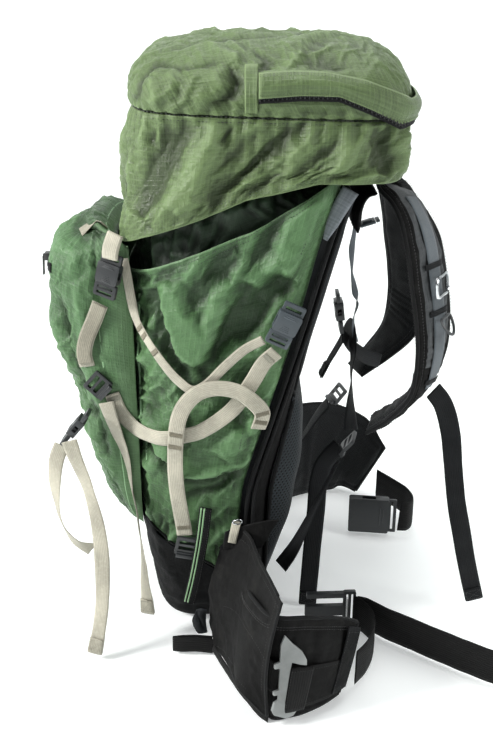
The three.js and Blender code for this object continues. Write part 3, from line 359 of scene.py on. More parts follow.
def stitch_data(P, T, N, spacing=4.2, length=2.7, r=0.38, lift=0.25):
    """a row of thread stitches along points P with direction T on a surface of normal N"""
    P, N = np.asarray(P, float), np.asarray(N, float)
    s = np.r_[0, np.cumsum(np.linalg.norm(np.diff(P, axis=0), axis=1))]
    q = np.arange(spacing / 2, s[-1] - spacing / 3, spacing); V, F = [], []
    if len(q) == 0: return np.zeros((0, 3)), []
    at = lambda A, x: np.stack([np.interp(x, s, A[:, k]) for k in range(3)], 1)
    a, b, nn = at(P, q - length / 2), at(P, q + length / 2), unit(at(np.broadcast_to(N, P.shape), q))
    for i in range(len(q)):
        t = unit(b[i] - a[i]); w = unit(np.cross(t, nn[i])); base = len(V)
        for k, (f, rr, up) in enumerate(((0, 0.35, -0.2), (0.25, 1, 0.7), (0.75, 1, 0.7), (1, 0.35, -0.2))):
            c = a[i] * (1 - f) + b[i] * f + nn[i] * (lift * up)
            for g in range(5):
                th = 2 * math.pi * g / 5
                V.append(c + (w * math.cos(th) + nn[i] * math.sin(th)) * r * rr)
        for k in range(3):
            for g in range(5):
                F.append([base + k * 5 + g, base + k * 5 + (g + 1) % 5, base + (k + 1) * 5 + (g + 1) % 5, base + (k + 1) * 5 + g])
        F.append([base + g for g in range(5)][::-1]); F.append([base + 15 + g for g in range(5)])
    return np.array(V), F

def tube_data(pts, r, step=3.0, sides=10, radii=None):
    c, s, L, f = resample(pts, step); tan = unit(np.gradient(c, axis=0))
    up = np.array([0.3, 0.2, 1.0]); A = unit(np.cross(tan, up)); 
    for i in range(1, len(A)):
        if A[i] @ A[i - 1] < 0: A[i] = -A[i]
    B = np.cross(tan, A); th = np.arange(sides) * 2 * math.pi / sides
    rr = np.full(len(c), float(r)) if radii is None else np.interp(s / L, np.linspace(0, 1, len(radii)), radii)
    P = c[:, None] + (A[:, None] * np.cos(th)[None, :, None] + B[:, None] * np.sin(th)[None, :, None]) * rr[:, None, None]
    F = grid_faces(len(c), sides, closed_u=True).tolist(); F.append(list(range(sides))[::-1]); F.append([(len(c) - 1) * sides + i for i in range(sides)])
    fab = np.zeros((len(c), sides, 3)); fab[..., 0] = th * r; fab[..., 1] = s[:, None]
    return P.reshape(-1, 3), F, fab.reshape(-1, 3), c

# ------------------------------------------------------------------ materials
def srgb(r, g, b): return tuple((c / 255 / 12.92) if c / 255 <= 0.04045 else ((c / 255 + 0.055) / 1.055) ** 2.4 for c in (r, g, b)) + (1.0,)

class Mat:
    def __init__(s, name):
        s.m = bpy.data.materials.new(name); s.m.use_nodes = True; s.nt = s.m.node_tree
        s.b = s.nt.nodes["Principled BSDF"]
    def n(s, kind, **props):
        x = s.nt.nodes.new(kind)
        for k, v in props.items(): setattr(x, k, v)
        return x
    def link(s, a, b): s.nt.links.new(a, b)
    def val(s, sock, v):
        if hasattr(v, "links") or isinstance(v, bpy.types.NodeSocket): s.link(v, sock)
        else: sock.default_value = v
    def math(s, op, a, b=0.0, c=None, clamp=False):
        x = s.n("ShaderNodeMath", operation=op, use_clamp=clamp); s.val(x.inputs[0], a); s.val(x.inputs[1], b)
        if c is not None: s.val(x.inputs[2], c)
        return x.outputs[0]
    def mix(s, f, a, b, mode="MIX"):
        x = s.n("ShaderNodeMix", data_type="RGBA", blend_type=mode); s.val(x.inputs["Factor"], f)
        s.val(x.inputs[6], a); s.val(x.inputs[7], b); return x.outputs[2]
    def noise(s, vec, scale, detail=3.0, rough=0.5, dist=0.0):
        x = s.n("ShaderNodeTexNoise"); s.link(vec, x.inputs["Vector"]); x.inputs["Scale"].default_value = scale
        x.inputs["Detail"].default_value = detail; x.inputs["Roughness"].default_value = rough; x.inputs["Distortion"].default_value = dist
        return x.outputs[0]
    def ramp(s, f, lo, hi, a=0.0, b=1.0):
        x = s.n("ShaderNodeMapRange", interpolation_type="SMOOTHSTEP"); s.val(x.inputs[0], f)
        x.inputs[1].default_value = lo; x.inputs[2].default_value = hi; x.inputs[3].default_value = a; x.inputs[4].default_value = b
        return x.outputs[0]
    def obj(s): return s.n("ShaderNodeTexCoord").outputs["Object"]
    def fab(s):
        x = s.n("ShaderNodeAttribute", attribute_name="fab", attribute_type="GEOMETRY"); return x.outputs["Vector"]
    def xyz(s, v):
        x = s.n("ShaderNodeSeparateXYZ"); s.link(v, x.inputs[0]); return x.outputs
    def scale(s, v, k):
        x = s.n("ShaderNodeVectorMath", operation="MULTIPLY"); s.link(v, x.inputs[0]); x.inputs[1].default_value = k; return x.outputs[0]
    def wave(s, x, period, sharp=1.0):
        w = s.math("SINE", s.math("MULTIPLY", x, 2 * math.pi / period)); w = s.math("MULTIPLY_ADD", w, 0.5, 0.5)
        return w if sharp == 1.0 else s.math("POWER", w, sharp)
    def bump(s, h, strength=0.4, dist=0.001, prev=None):
        x = s.n("ShaderNodeBump"); x.inputs["Strength"].default_value = strength; x.inputs["Distance"].default_value = dist
        s.link(h, x.inputs["Height"]);
        if prev is not None: s.link(prev, x.inputs["Normal"])
        return x.outputs[0]
    def wear(s, lo=0.5, hi=0.62):
        return s.ramp(s.n("ShaderNodeNewGeometry").outputs["Pointiness"], lo, hi)

def cloth_mat(name, rgb, weave=1.1, grid=0.0, rough=0.78, sheen=0.25, mottle=0.35, lighter=1.35, wear_to=None, coarse=False, bump=0.35, dust=0.0, spec=0.3, hue=None, crinkle=0.0007, fold_shade_and_highlight=0.0):
    m = Mat(name); base = srgb(*rgb); fab = m.fab(); u, v, _ = m.xyz(fab); ob = m.obj()
    big = m.ramp(m.noise(ob, 9.0, 4.0, 0.6), 0.3, 0.72); fine = m.ramp(m.noise(ob, 90.0, 3.0, 0.6), 0.25, 0.75)
    dark = tuple(c * (1 - mottle) for c in base[:3]) + (1,); light = tuple(min(c * lighter, 1) for c in base[:3]) + (1,)
    if hue is not None: light = srgb(*hue)
    col = m.mix(big, dark, light); col = m.mix(m.math("MULTIPLY", fine, 0.35), col, tuple(c * 1.15 for c in base[:3]) + (1,))
    # threads: warp and weft cross each other
    wu, wv = m.wave(u, weave), m.wave(v, weave * 1.07); over = m.wave(m.math("ADD", u, v), weave * 2.0)
    th = m.math("ADD", m.math("MULTIPLY", wu, over), m.math("MULTIPLY", wv, m.math("SUBTRACT", 1.0, over)))
    slub = m.noise(m.scale(fab, (0.9, 0.05, 0.0)), 1.0, 2.0); slub2 = m.noise(m.scale(fab, (0.05, 0.9, 0.0)), 1.0, 2.0)
    th = m.math("MULTIPLY_ADD", m.math("ADD", slub, slub2), 0.7, th)
    col = m.mix(m.ramp(th, 0.4, 1.6, 0.0, 0.5), col, tuple(min(c * 1.3 + 0.004, 1) for c in base[:3]) + (1,))
    yarn = m.math("ADD", m.noise(m.scale(fab, (0.42, 0.03, 0.0)), 1.0, 3.0), m.noise(m.scale(fab, (0.03, 0.42, 0.0)), 1.0, 3.0)); col = m.mix(m.ramp(yarn, 0.8, 1.0, 0.34, 0.0), col, tuple(c * 0.45 for c in base[:3]) + (1,)); col = m.mix(m.ramp(yarn, 1.0, 1.22, 0.0, 0.34), col, tuple(min(c * 1.9 + 0.004, 1) for c in base[:3]) + (1,))
    h = th
    if grid:
        gu = m.math("POWER", m.wave(u, grid), 9.0); gv = m.math("POWER", m.wave(v, grid), 9.0); g = m.math("MAXIMUM", gu, gv)
        h = m.math("MULTIPLY_ADD", g, 1.6, th); col = m.mix(m.math("MULTIPLY", g, 0.42), col, tuple(min(c * 1.7, 1) for c in base[:3]) + (1,))
    w = m.wear(0.51, 0.60)
    col = m.mix(m.math("MULTIPLY", w, 0.55), col, srgb(*(wear_to or tuple(min(int(c * 1.5 + 22), 255) for c in rgb))))
    # painted shade: the cloth turns darker in the hollows of folds and creases (low pointiness)
    crease_shade = m.ramp(m.n("ShaderNodeNewGeometry").outputs["Pointiness"], 0.42, 0.49, 0.55, 0.0)
    col = m.mix(crease_shade, col, tuple(c * 0.35 for c in base[:3]) + (1,))
    if dust:
        d = m.math("MULTIPLY", m.ramp(m.noise(ob, 30.0, 5.0, 0.7), 0.5, 0.8), dust); col = m.mix(d, col, srgb(150, 148, 138))
    # painted shade darkens the deep folds and painted highlight lightens the proud cloth, from the fold depth in the
    # third number of fab
    if fold_shade_and_highlight:
        fz = m.xyz(fab)[2]; fold = m.ramp(fz, -0.7, 0.0, min(fold_shade_and_highlight * 1.05, 0.9), 0.0); col = m.mix(fold, col, tuple(c * 0.16 for c in base[:3]) + (1,))
        col = m.mix(m.ramp(fz, 0.05, 0.9, 0.0, fold_shade_and_highlight * 0.75), col, tuple(min(c * 2.1 + 0.015, 1) for c in base[:3]) + (1,))
    m.link(col, m.b.inputs["Base Color"])
    r = m.math("MULTIPLY_ADD", fine, -0.12, rough + 0.06); m.link(r, m.b.inputs["Roughness"])
    m.b.inputs["Sheen Weight"].default_value = sheen; m.b.inputs["Sheen Roughness"].default_value = 0.45
    m.b.inputs["Specular IOR Level"].default_value = spec
    wr = m.noise(ob, 42.0, 2.5, 0.55, 1.2); wr = m.math("ABSOLUTE", m.math("SUBTRACT", wr, 0.5)); wr = m.math("POWER", m.math("SUBTRACT", 1.0, m.math("MULTIPLY", wr, 3.0, clamp=True)), 2.0)
    n0 = m.bump(wr, 0.5 if not coarse else 0.3, crinkle)
    n1 = m.bump(m.noise(ob, 130.0 if not coarse else 60.0, 4.0, 0.65), 0.35, 0.0012, n0)
    m.link(m.bump(h, bump, 0.0005 if not coarse else 0.0009, n1), m.b.inputs["Normal"])
    return m.m

def web_mat(name, rgb, ribs=2.1, pick=1.5, rough=0.72, light=1.18, herring=False, sheen=0.15):
    """woven strap: ribs run along it and picks cross it"""
    m = Mat(name); base = srgb(*rgb); fab = m.fab(); u, v, L = m.xyz(fab); ob = m.obj()
    rib = m.wave(u, ribs); diag = m.wave(m.math("ADD", v, m.math("MULTIPLY", m.math("PINGPONG", u, ribs * (2 if herring else 0.5)), 1.0)), pick)
    h = m.math("MULTIPLY_ADD", diag, 0.55, rib)
    big = m.ramp(m.noise(ob, 22.0, 4.0), 0.3, 0.7); fine = m.noise(ob, 260.0, 3.0)
    col = m.mix(big, tuple(c * 0.8 for c in base[:3]) + (1,), tuple(min(c * light, 1) for c in base[:3]) + (1,))
    col = m.mix(m.ramp(h, 0.1, 1.3, 0.42, 0.0), col, tuple(c * 0.45 for c in base[:3]) + (1,))
    col = m.mix(m.math("MULTIPLY", m.ramp(fine, 0.45, 0.75), 0.18), col, tuple(min(c * 1.6 + 0.01, 1) for c in base[:3]) + (1,))
    grime = m.math("MULTIPLY", m.ramp(m.noise(ob, 14.0, 5.0, 0.7), 0.55, 0.85), 0.22); col = m.mix(grime, col, tuple(c * 0.5 for c in base[:3]) + (1,))
    m.link(col, m.b.inputs["Base Color"]); m.link(m.math("MULTIPLY_ADD", fine, 0.15, rough - 0.08), m.b.inputs["Roughness"])
    m.b.inputs["Sheen Weight"].default_value = sheen * (0.2 if max(rgb) < 60 else 1.0); m.b.inputs["Specular IOR Level"].default_value = 0.16 if max(rgb) < 60 else 0.3
    m.link(m.bump(h, 0.55, 0.0006), m.b.inputs["Normal"])
    return m.m

def mesh_mat(name, rgb, cell=3.4, rough=0.8, deep=0.12, spark=1.5):
    """spacer mesh: open holes in a staggered pattern, painted dark as the shade inside them"""
    m = Mat(name); base = srgb(*rgb); fab = m.fab(); u, v, _ = m.xyz(fab); ob = m.obj()
    a = m.wave(u, cell); b = m.wave(v, cell * 1.55); a2 = m.wave(m.math("ADD", u, cell / 2), cell); b2 = m.wave(m.math("ADD", v, cell * 0.775), cell * 1.55)
    hole = m.math("MAXIMUM", m.math("MULTIPLY", a, b), m.math("MULTIPLY", a2, b2)); hole = m.ramp(hole, 0.5, 0.78)
    vein = m.noise(m.scale(fab, (0.8, 0.8, 0.0)), 1.0, 2.0)
    # painted shade: the holes take the base colour times deep
    col = m.mix(hole, tuple(min(c * spark, 1) for c in base[:3]) + (1,), tuple(c * deep for c in base[:3]) + (1,))
    col = m.mix(m.math("MULTIPLY", m.ramp(m.noise(ob, 12.0, 4.0), 0.35, 0.7), 0.4), col, tuple(c * 0.55 for c in base[:3]) + (1,))
    m.link(col, m.b.inputs["Base Color"]); m.link(m.math("MULTIPLY_ADD", hole, 0.15, rough - 0.05), m.b.inputs["Roughness"])
    h = m.math("SUBTRACT", m.math("MULTIPLY", vein, 0.4), hole); m.link(m.bump(h, 0.8, 0.0012), m.b.inputs["Normal"])
    m.b.inputs["Sheen Weight"].default_value = 0.1; m.b.inputs["Specular IOR Level"].default_value = 0.25
    return m.m

def plastic_mat(name, rgb, rough=0.42, grain=900.0, scuff=0.35, coat=0.0):
    m = Mat(name); base = srgb(*rgb); ob = m.obj()
    n1, n2 = m.noise(ob, 35.0, 4.0, 0.6), m.noise(ob, grain, 2.0, 0.5)
    scr = m.ramp(m.noise(m.scale(ob, (900.0, 60.0, 240.0)), 1.0, 3.0, 0.7), 0.62, 0.72)
    col = m.mix(m.ramp(n1, 0.3, 0.7), tuple(c * 0.85 for c in base[:3]) + (1,), tuple(min(c * 1.2, 1) for c in base[:3]) + (1,))
    col = m.mix(m.math("MULTIPLY", m.wear(0.505, 0.56), scuff + 0.15), col, tuple(min(c * 2.3 + 0.03, 1) for c in base[:3]) + (1,))
    col = m.mix(m.math("MULTIPLY", scr, scuff * 0.5), col, tuple(min(c * 1.9 + 0.03, 1) for c in base[:3]) + (1,))
    m.link(col, m.b.inputs["Base Color"]); r = m.math("MULTIPLY_ADD", m.ramp(n1, 0.3, 0.7), 0.14, rough - 0.04); m.link(m.math("MULTIPLY_ADD", scr, 0.15, r), m.b.inputs["Roughness"])
    m.b.inputs["Coat Weight"].default_value = coat
    m.link(m.bump(n2, 0.18, 0.0003), m.b.inputs["Normal"])
    return m.m

def metal_mat(name, rgb, rough=0.2):
    m = Mat(name); base = srgb(*rgb); ob = m.obj(); n1 = m.noise(ob, 60.0, 4.0, 0.6)
    scr = m.ramp(m.noise(m.scale(ob, (1500.0, 200.0, 120.0)), 1.0, 3.0, 0.7), 0.55, 0.75)
    m.link(m.mix(m.math("MULTIPLY", m.ramp(n1, 0.35, 0.75), 0.4), base, tuple(c * 0.55 for c in base[:3]) + (1,)), m.b.inputs["Base Color"])
    m.b.inputs["Metallic"].default_value = 1.0
    m.link(m.math("MULTIPLY_ADD", scr, 0.22, rough), m.b.inputs["Roughness"]); m.link(m.bump(scr, 0.12, 0.0002), m.b.inputs["Normal"])
    return m.m

def thread_mat(name, rgb):
    m = Mat(name); base = srgb(*rgb); ob = m.obj(); n = m.noise(ob, 1800.0, 2.0)
    m.link(m.mix(m.ramp(n, 0.3, 0.7), tuple(c * 0.6 for c in base[:3]) + (1,), base), m.b.inputs["Base Color"])
    m.b.inputs["Sheen Weight"].default_value = 0.2
    m.link(m.math("MULTIPLY_ADD", n, 0.2, 0.55), m.b.inputs["Roughness"]); m.link(m.bump(n, 0.5, 0.0003), m.b.inputs["Normal"])
    return m.m

GREEN = cloth_mat("bag_ripstop", (60, 88, 54), weave=1.25, grid=4.8, rough=0.42, sheen=0.06, mottle=0.30, lighter=1.25, wear_to=(128, 160, 120), spec=0.3, fold_shade_and_highlight=0.62)
LIDG = cloth_mat("lid_nylon", (76, 93, 58), weave=1.25, grid=4.4, rough=0.42, sheen=0.06, mottle=0.30, lighter=1.25, wear_to=(128, 148, 104), spec=0.3, fold_shade_and_highlight=0.62)
POCK = cloth_mat("pocket_nylon", (62, 90, 57), weave=1.25, grid=4.8, rough=0.44, sheen=0.06, mottle=0.30, lighter=1.25, wear_to=(134, 166, 124), spec=0.3, fold_shade_and_highlight=0.62)
COLLAR = cloth_mat("collar_nylon", (30, 46, 30), weave=0.9, grid=0.0, rough=0.36, sheen=0.05, mottle=0.4, lighter=1.5, spec=0.3, fold_shade_and_highlight=0.5)
BASEC = cloth_mat("base_cordura", (10, 11, 12), weave=1.7, rough=0.8, sheen=0.0, mottle=0.25, coarse=True, dust=0.03, spec=0.14)
BLACKC = cloth_mat("harness_cordura", (11, 11, 11), weave=1.6, rough=0.8, sheen=0.0, mottle=0.28, coarse=True, dust=0.03, spec=0.14)
SMOOTHB = cloth_mat("harness_stretch", (13, 16, 19), weave=1.0, rough=0.66, sheen=0.02, mottle=0.25, dust=0.03, spec=0.2)
GREYC = cloth_mat("harness_grey", (52, 55, 57), weave=1.3, rough=0.6, sheen=0.08, mottle=0.22, spec=0.3)
LIGHTC = cloth_mat("edge_grey", (126, 132, 138), weave=1.1, rough=0.6, sheen=0.2, mottle=0.18)
MESH = mesh_mat("air_mesh", (14, 17, 19), cell=2.6)
MESHC = mesh_mat("air_mesh_coarse", (30, 35, 38), cell=5.2, deep=0.05, spark=2.0)
TAN = web_mat("webbing_tan", (176, 172, 156), ribs=2.2, pick=1.6)
# a darker copy of the tan webbing: painted shade for webbing that lies in shadow
TAN_SHADED = web_mat("webbing_tan_shaded", (150, 146, 130), ribs=2.2, pick=1.6)
WBLACK = web_mat("webbing_black", (19, 21, 23), ribs=2.4, pick=1.7, light=1.3, herring=True)
WBELT = web_mat("webbing_belt", (12, 12, 12), ribs=3.2, pick=1.9, light=1.25, herring=True)
WGREY = web_mat("webbing_grey", (88, 95, 100), ribs=2.4, pick=1.6, light=1.15)
BIND = web_mat("binding_black", (16, 17, 18), ribs=2.0, pick=1.2)
PBLACK = plastic_mat("buckle_black", (24, 27, 29), rough=0.4)
PGREY = plastic_mat("buckle_slate", (48, 55, 60), rough=0.42)
PDARK = plastic_mat("zip_black", (18, 19, 20), rough=0.38)
PPLATE = plastic_mat("anchor_grey", (108, 111, 110), rough=0.38, scuff=0.3)
CHROME = metal_mat("ring_chrome", (205, 208, 210), 0.16)
ALU = metal_mat("stay_aluminium", (178, 181, 185), 0.32)
SHEETP = plastic_mat("frame_sheet", (22, 23, 25), rough=0.5)
THREADD = thread_mat("thread_dark", (26, 38, 24)); THREADG = thread_mat("thread_green", (70, 92, 62)); THREADK = thread_mat("thread_black", (16, 16, 17)); THREADW = thread_mat("thread_pale", (170, 168, 152))
THREADB = thread_mat("thread_brown", (132, 126, 106))
PIPE = cloth_mat("piping_green", (88, 116, 84), weave=0.8, rough=0.6, mottle=0.2)
# ------------------------------------------------------------------ webbing routes: points and the direction across the strap
ROUTE = {
    "lid_strap": ([[-96.2, -111.7, 463.4], [-105.4, -106.5, 441.2], [-117, -105.5, 414.7], [-120.6, -103.9, 395.8], [-117.9, -104.2, 379.7]], [[0.9, -0.13, -0.41], [0.91, -0.13, -0.4], [0.94, -0.14, -0.32], [0.99, -0.15, -0.03], [0.97, -0.16, 0.16]]),
    "side_tail": ([[-96.2, -112.2, 334.4], [-91, -112.8, 315.3], [-77.5, -109.2, 262.3], [-68.9, -107.1, 202.1], [-59.6, -126, 158.6], [-54.6, -136, 96.1], [-52.3, -141, 41.2]], [[0.95, -0.19, 0.26], [0.95, -0.2, 0.24], [0.96, -0.22, 0.18], [0.96, -0.19, 0.2], [0.99, -0.07, 0.15], [1, 0, 0.06], [1, 0, 0.04]]),
    "compression_strap": ([[-89.2, -106.7, 343.7], [-79, -107.4, 318.1], [-63.2, -110.1, 299.8], [-45.3, -125.9, 296.9], [-24.3, -142.1, 298.9], [3.5, -149.6, 306.2], [22, -150, 311.8], [46.7, -150.8, 328.5], [65.1, -151.3, 346.1], [86, -151.9, 379.1], [100.2, -151.5, 403.6], [114.4, -150.9, 416.7]], [[0.92, -0.16, 0.37], [0.84, -0.16, 0.51], [0.46, -0.17, 0.87], [0.01, -0.02, 1], [-0.16, 0.06, 0.99], [-0.27, -0.01, 0.96], [-0.46, -0.04, 0.89], [-0.62, -0.02, 0.78], [-0.79, -0.03, 0.61], [-0.85, -0.07, 0.52], [-0.79, -0.13, 0.6], [-0.66, -0.19, 0.72]]),
    "cross_strap": ([[-66.7, -100.1, 516.2], [-63.3, -104.1, 496.2], [-59, -107.5, 465.7], [-53.5, -113.4, 442.6], [-37.5, -132.4, 421.1], [-20.8, -143.3, 399.4], [-1.7, -149.7, 378.5], [14.7, -153.7, 368.6], [30.4, -152.9, 375.3], [53.4, -152.2, 398.8], [77.2, -152.5, 420.6], [98.9, -153.4, 433]], [[0.82, -0.53, 0.24], [0.96, -0.23, 0.18], [0.95, -0.22, 0.21], [0.66, -0.47, 0.58], [0.54, -0.44, 0.72], [0.66, -0.31, 0.68], [0.63, -0.13, 0.77], [0.1, -0.02, 0.99], [-0.61, -0.01, 0.79], [-0.7, 0, 0.72], [-0.6, -0.02, 0.8], [-0.5, -0.04, 0.87]]),
    "down_strap": ([[93.3, -153.6, 317.3], [98.1, -154.4, 338.1], [88, -158.7, 354.6], [71.1, -160.9, 368.6], [47.2, -159.9, 373.8], [26.7, -158.7, 369.8], [10.8, -157.4, 357.9], [-1.7, -155.6, 336.2], [-7.9, -153.4, 297], [-9, -147.4, 239.3], [-4.7, -143.1, 196.6], [-1.6, -140.5, 171.4], [-0.7, -140.1, 159.9]], [[-0.92, -0.35, 0.2], [-0.95, -0.25, -0.17], [-0.74, -0.05, -0.67], [-0.43, 0.02, -0.9], [-0.03, 0.03, -1], [0.4, 0.02, -0.92], [0.76, -0.03, -0.65], [0.94, -0.15, -0.3], [0.97, -0.22, -0.09], [0.98, -0.18, 0.01], [0.99, -0.07, 0.1], [0.99, -0.02, 0.11], [1, -0.02, 0.08]]),
    "front_loop": ([[-154.8, -114, 276], [-162.1, -116, 258.6], [-166.3, -119, 228.5], [-166, -121, 193], [-160.3, -121, 163.1], [-146.7, -119, 137.6], [-126.1, -113, 121.5]], [[0.92, 0, -0.38], [0.97, 0, -0.23], [1, 0, -0.06], [1, 0, 0.09], [0.94, 0, 0.33], [0.77, 0, 0.63], [0.62, 0, 0.79]]),
    "long_tail": ([[-140.2, -141, 295.1], [-133.1, -142, 269.2], [-119.3, -144, 225], [-109.9, -149, 180], [-106.2, -158, 133.6], [-107.3, -171, 81.6], [-112.1, -181, 42.2], [-118, -188, 12.8]], [[0.96, 0, 0.27], [0.96, 0, 0.29], [0.97, 0, 0.25], [0.99, 0, 0.14], [1, 0, 0.03], [1, 0, -0.06], [0.99, 0, -0.15], [0.98, 0, -0.2]]),
    "shoulder_tail": ([[311, -110, 350], [324, -109, 332], [337.5, -104, 292.3], [346.2, -100, 240.1], [355.2, -96, 186.1], [366.6, -92, 137.9], [380.6, -87, 79.4], [396.8, -80, 20.5]], [[0.71, 0.45, 0.54], [0.83, 0.37, 0.42], [0.94, 0.24, 0.25], [0.97, 0.19, 0.18], [0.96, 0.19, 0.21], [0.95, 0.19, 0.24], [0.95, 0.19, 0.26], [0.94, 0.19, 0.28]]),
    "hanging_strap": ([[203, -66, 250], [191, -66, 238], [181, -66, 222], [176, -67, 200], [173, -67, 150], [170, -67, 100], [167, -68, 50], [165, -69, 5]], [[0.7, -0.13, -0.7], [0.78, 0.08, -0.62], [0.92, 0.13, -0.37], [0.99, 0.1, -0.11], [0.99, 0.1, -0.06], [0.99, 0.1, -0.06], [0.99, 0.1, -0.05], [0.99, 0.1, -0.05]]),
    "draped_web": ([[215, -80, 281], [214, -70, 300], [215, -50, 328], [218, -26, 356], [221, -4, 377], [221, 10, 385], [217, 31, 382], [207, 36, 358], [194, 36, 332], [183, 34, 310]], [[-0.8, -0.55, 0.25], [-0.81, -0.49, 0.31], [-0.79, -0.46, 0.41], [-0.76, -0.43, 0.5], [-0.8, -0.34, 0.5], [-0.85, -0.17, 0.49], [-0.88, 0.01, 0.47], [-0.9, 0.12, 0.42], [-0.89, 0.14, 0.44], [-0.89, 0.14, 0.43]]),
    "sternum_strap": ([[206, -6, 385], [212, 4, 374], [228, 24, 352], [248, 47, 332], [268, 69, 318]], [[0, 0.74, 0.67], [0.11, 0.7, 0.71], [0.25, 0.56, 0.79], [0.28, 0.4, 0.87], [0.27, 0.33, 0.9]]),
    "belt_tail": ([[229, -119, 27], [242, -124, 27], [262, -143, 27], [300, -173, 27], [345, -206, 27], [386, -235, 27], [425, -257, 27], [462, -273, 27], [492, -283, 27]], [[0, 0, 1], [0, 0, 1], [0, 0, 1], [0, 0, 1], [0, 0, 1], [0, 0, 1], [0, 0, 1], [0, 0, 1], [0, 0, 1]]),
}

def twist_route(key, degs):
    """turns the strap about its own line, degree by degree along the route"""
    P, W = np.array(ROUTE[key][0], float), np.array(ROUTE[key][1], float); T = unit(np.gradient(P, axis=0)); a = np.radians(np.interp(np.linspace(0, 1, len(P)), np.linspace(0, 1, len(degs)), degs))
    W = unit(W - T * (W * T).sum(1, keepdims=True)); N = np.cross(T, W); ROUTE[key] = (P.tolist(), (W * np.cos(a)[:, None] + N * np.sin(a)[:, None]).tolist())
TWISTED = [("side_tail", [0, 10, 35, 68, 80, 55, 20]), ("long_tail", [0, 15, 35, 20, 5, 25, 30, 10]), ("front_loop", [0, 10, 30, 60, 70, 40, 0]), ("shoulder_tail", [0, 5, 25, 40, 35, 15, 5, 10]), ("draped_web", [0, 15, 40, 60, 70, 70, 75, 80, 80, 80])]
for k_, a_ in TWISTED: twist_route(k_, a_)

# ------------------------------------------------------------------ the pack's own lines
FRONT = [[0, -30], [12, -44], [60, -52], [110, -60], [165, -66], [260, -68], [440, -72], [620, -70]]
BACK = [[0, 64], [12, 78], [60, 80], [110, 77], [150, 75], [211, 78], [240, 84], [300, 102], [350, 117], [440, 144], [520, 166], [620, 196]]
HALF = [[0, 88], [12, 104], [60, 118], [110, 126], [200, 137], [300, 145], [440, 148], [620, 146]]
PANEL = [[60, 9], [94, 14], [164, 20], [240, 20], [300, 16], [350, 12], [400, 7], [440, 6], [620, 6]]
LUMBAR = [[78, 5], [94, 9], [130, 20], [164, 30], [200, 33], [240, 34], [290, 24], [323, 16], [340, 6]]

def bag_xyz(th, z0, slope, inset, nf=2.7, nb=8.0):
    c, s = np.cos(th), np.sin(th); z = z0 + 0 * c
    for _ in range(12):
        xf, xb, hy = tab(FRONT, z) + inset, tab(BACK, z) - inset, tab(HALF, z) - inset
        xc, a = (xf + xb) / 2, (xb - xf) / 2; n = np.where(c < 0, nf, nb)
        x = xc + a * np.sign(c) * np.abs(c) ** (2 / n); y = hy * np.sign(s) * np.abs(s) ** (2 / n); zz = z
        z = z0 + slope * (x - 10)
    return np.stack([x, y, z], -1)

def ring_xyz(th, xf, xb, hy, z0, slope, nf, nb):
    c, s = np.cos(th), np.sin(th); n = np.where(c < 0, nf, nb); xc, a = (xf + xb) / 2, (xb - xf) / 2
    x = xc + a * np.sign(c) * np.abs(c) ** (2 / n); y = hy * np.sign(s) * np.abs(s) ** (2 / n)
    return np.stack([x, y, z0 + slope * (x - xc)], -1)

def even_angles(fn, n):
    """angles that put n points evenly round a ring, starting at the middle of the back"""
    th = np.linspace(0, 2 * np.pi, 8001); p = fn(th); s = np.r_[0, np.cumsum(np.linalg.norm(np.diff(p, axis=0), axis=1))]
    return np.interp(np.arange(n) / n * s[-1], s, th)

# fold lines on the near side, (x, z)
SKIRT_FOLDS = [
    ([(26, 691), (-5, 662), (-30, 613), (-51, 576)], 19, -9), ([(46, 684), (17, 615), (-34, 566)], 15, 7),
    ([(160, 699), (110, 664), (69, 624), (25, 588)], 12, -9, 1.3), ([(141, 698), (88, 651), (52, 615), (0, 574)], 11, 6),
    ([(223, 677), (232, 643), (224, 615)], 14, -7), ([(193, 679), (187, 642), (177, 614)], 12, 4),
    ([(-58, 690), (-66, 640), (-72, 600)], 8, 5), ([(252, 668), (258, 640), (250, 612)], 8, 5), ([(70, 690), (60, 672), (48, 660)], 6, -5, 1.3),
    ([(-20, 684), (-28, 668), (-34, 655)], 5, -4, 1.3), ([(8, 690), (4, 676), (0, 668)], 5, 4, 1.3), ([(96, 698), (92, 684), (84, 672)], 5, 4, 1.3), ([(120, 700), (116, 688), (110, 678)], 5, -4, 1.3),
]
SIDE_FOLDS = [
    ([(-15, 499), (-1, 444), (18, 396)], 15, 9), ([(-38, 485), (-23, 432), (8, 374)], 11, -9, 1.3), ([(83, 499), (54, 438), (22, 378)], 13, -10, 1.3),
    ([(49, 507), (39, 444), (21, 392)], 11, 6), ([(163, 603), (139, 558), (117, 503)], 18, 7), ([(131, 499), (104, 481), (74, 420)], 16, -9),
    ([(-86, 298), (-53, 278), (-14, 246)], 7, -6, 1.3), ([(-103, 279), (-67, 254), (-36, 244)], 7, 5, 1.3), ([(-14, 246), (27, 248), (86, 268)], 8, 6, 1.3),
    ([(-66, 319), (-34, 292), (-16, 257)], 8, 6), ([(1, 211), (39, 223), (77, 243)], 7, -5, 1.3), ([(52, 268), (71, 298), (93, 332)], 12, 6), ([(-6, 235), (40, 236), (88, 250)], 5, -5, 1.3),
    ([(-2, 372), (18, 362), (34, 376)], 10, -6), ([(10, 360), (6, 330), (2, 300)], 12, -4), ([(92, 440), (108, 400), (104, 350)], 12, 5), ([(60, 350), (74, 320), (80, 290)], 9, -5),
]

STRAPS_NEAR = [("lid_strap", 20), ("side_tail", 20), ("compression_strap", 20), ("cross_strap", 12), ("down_strap", 20)]
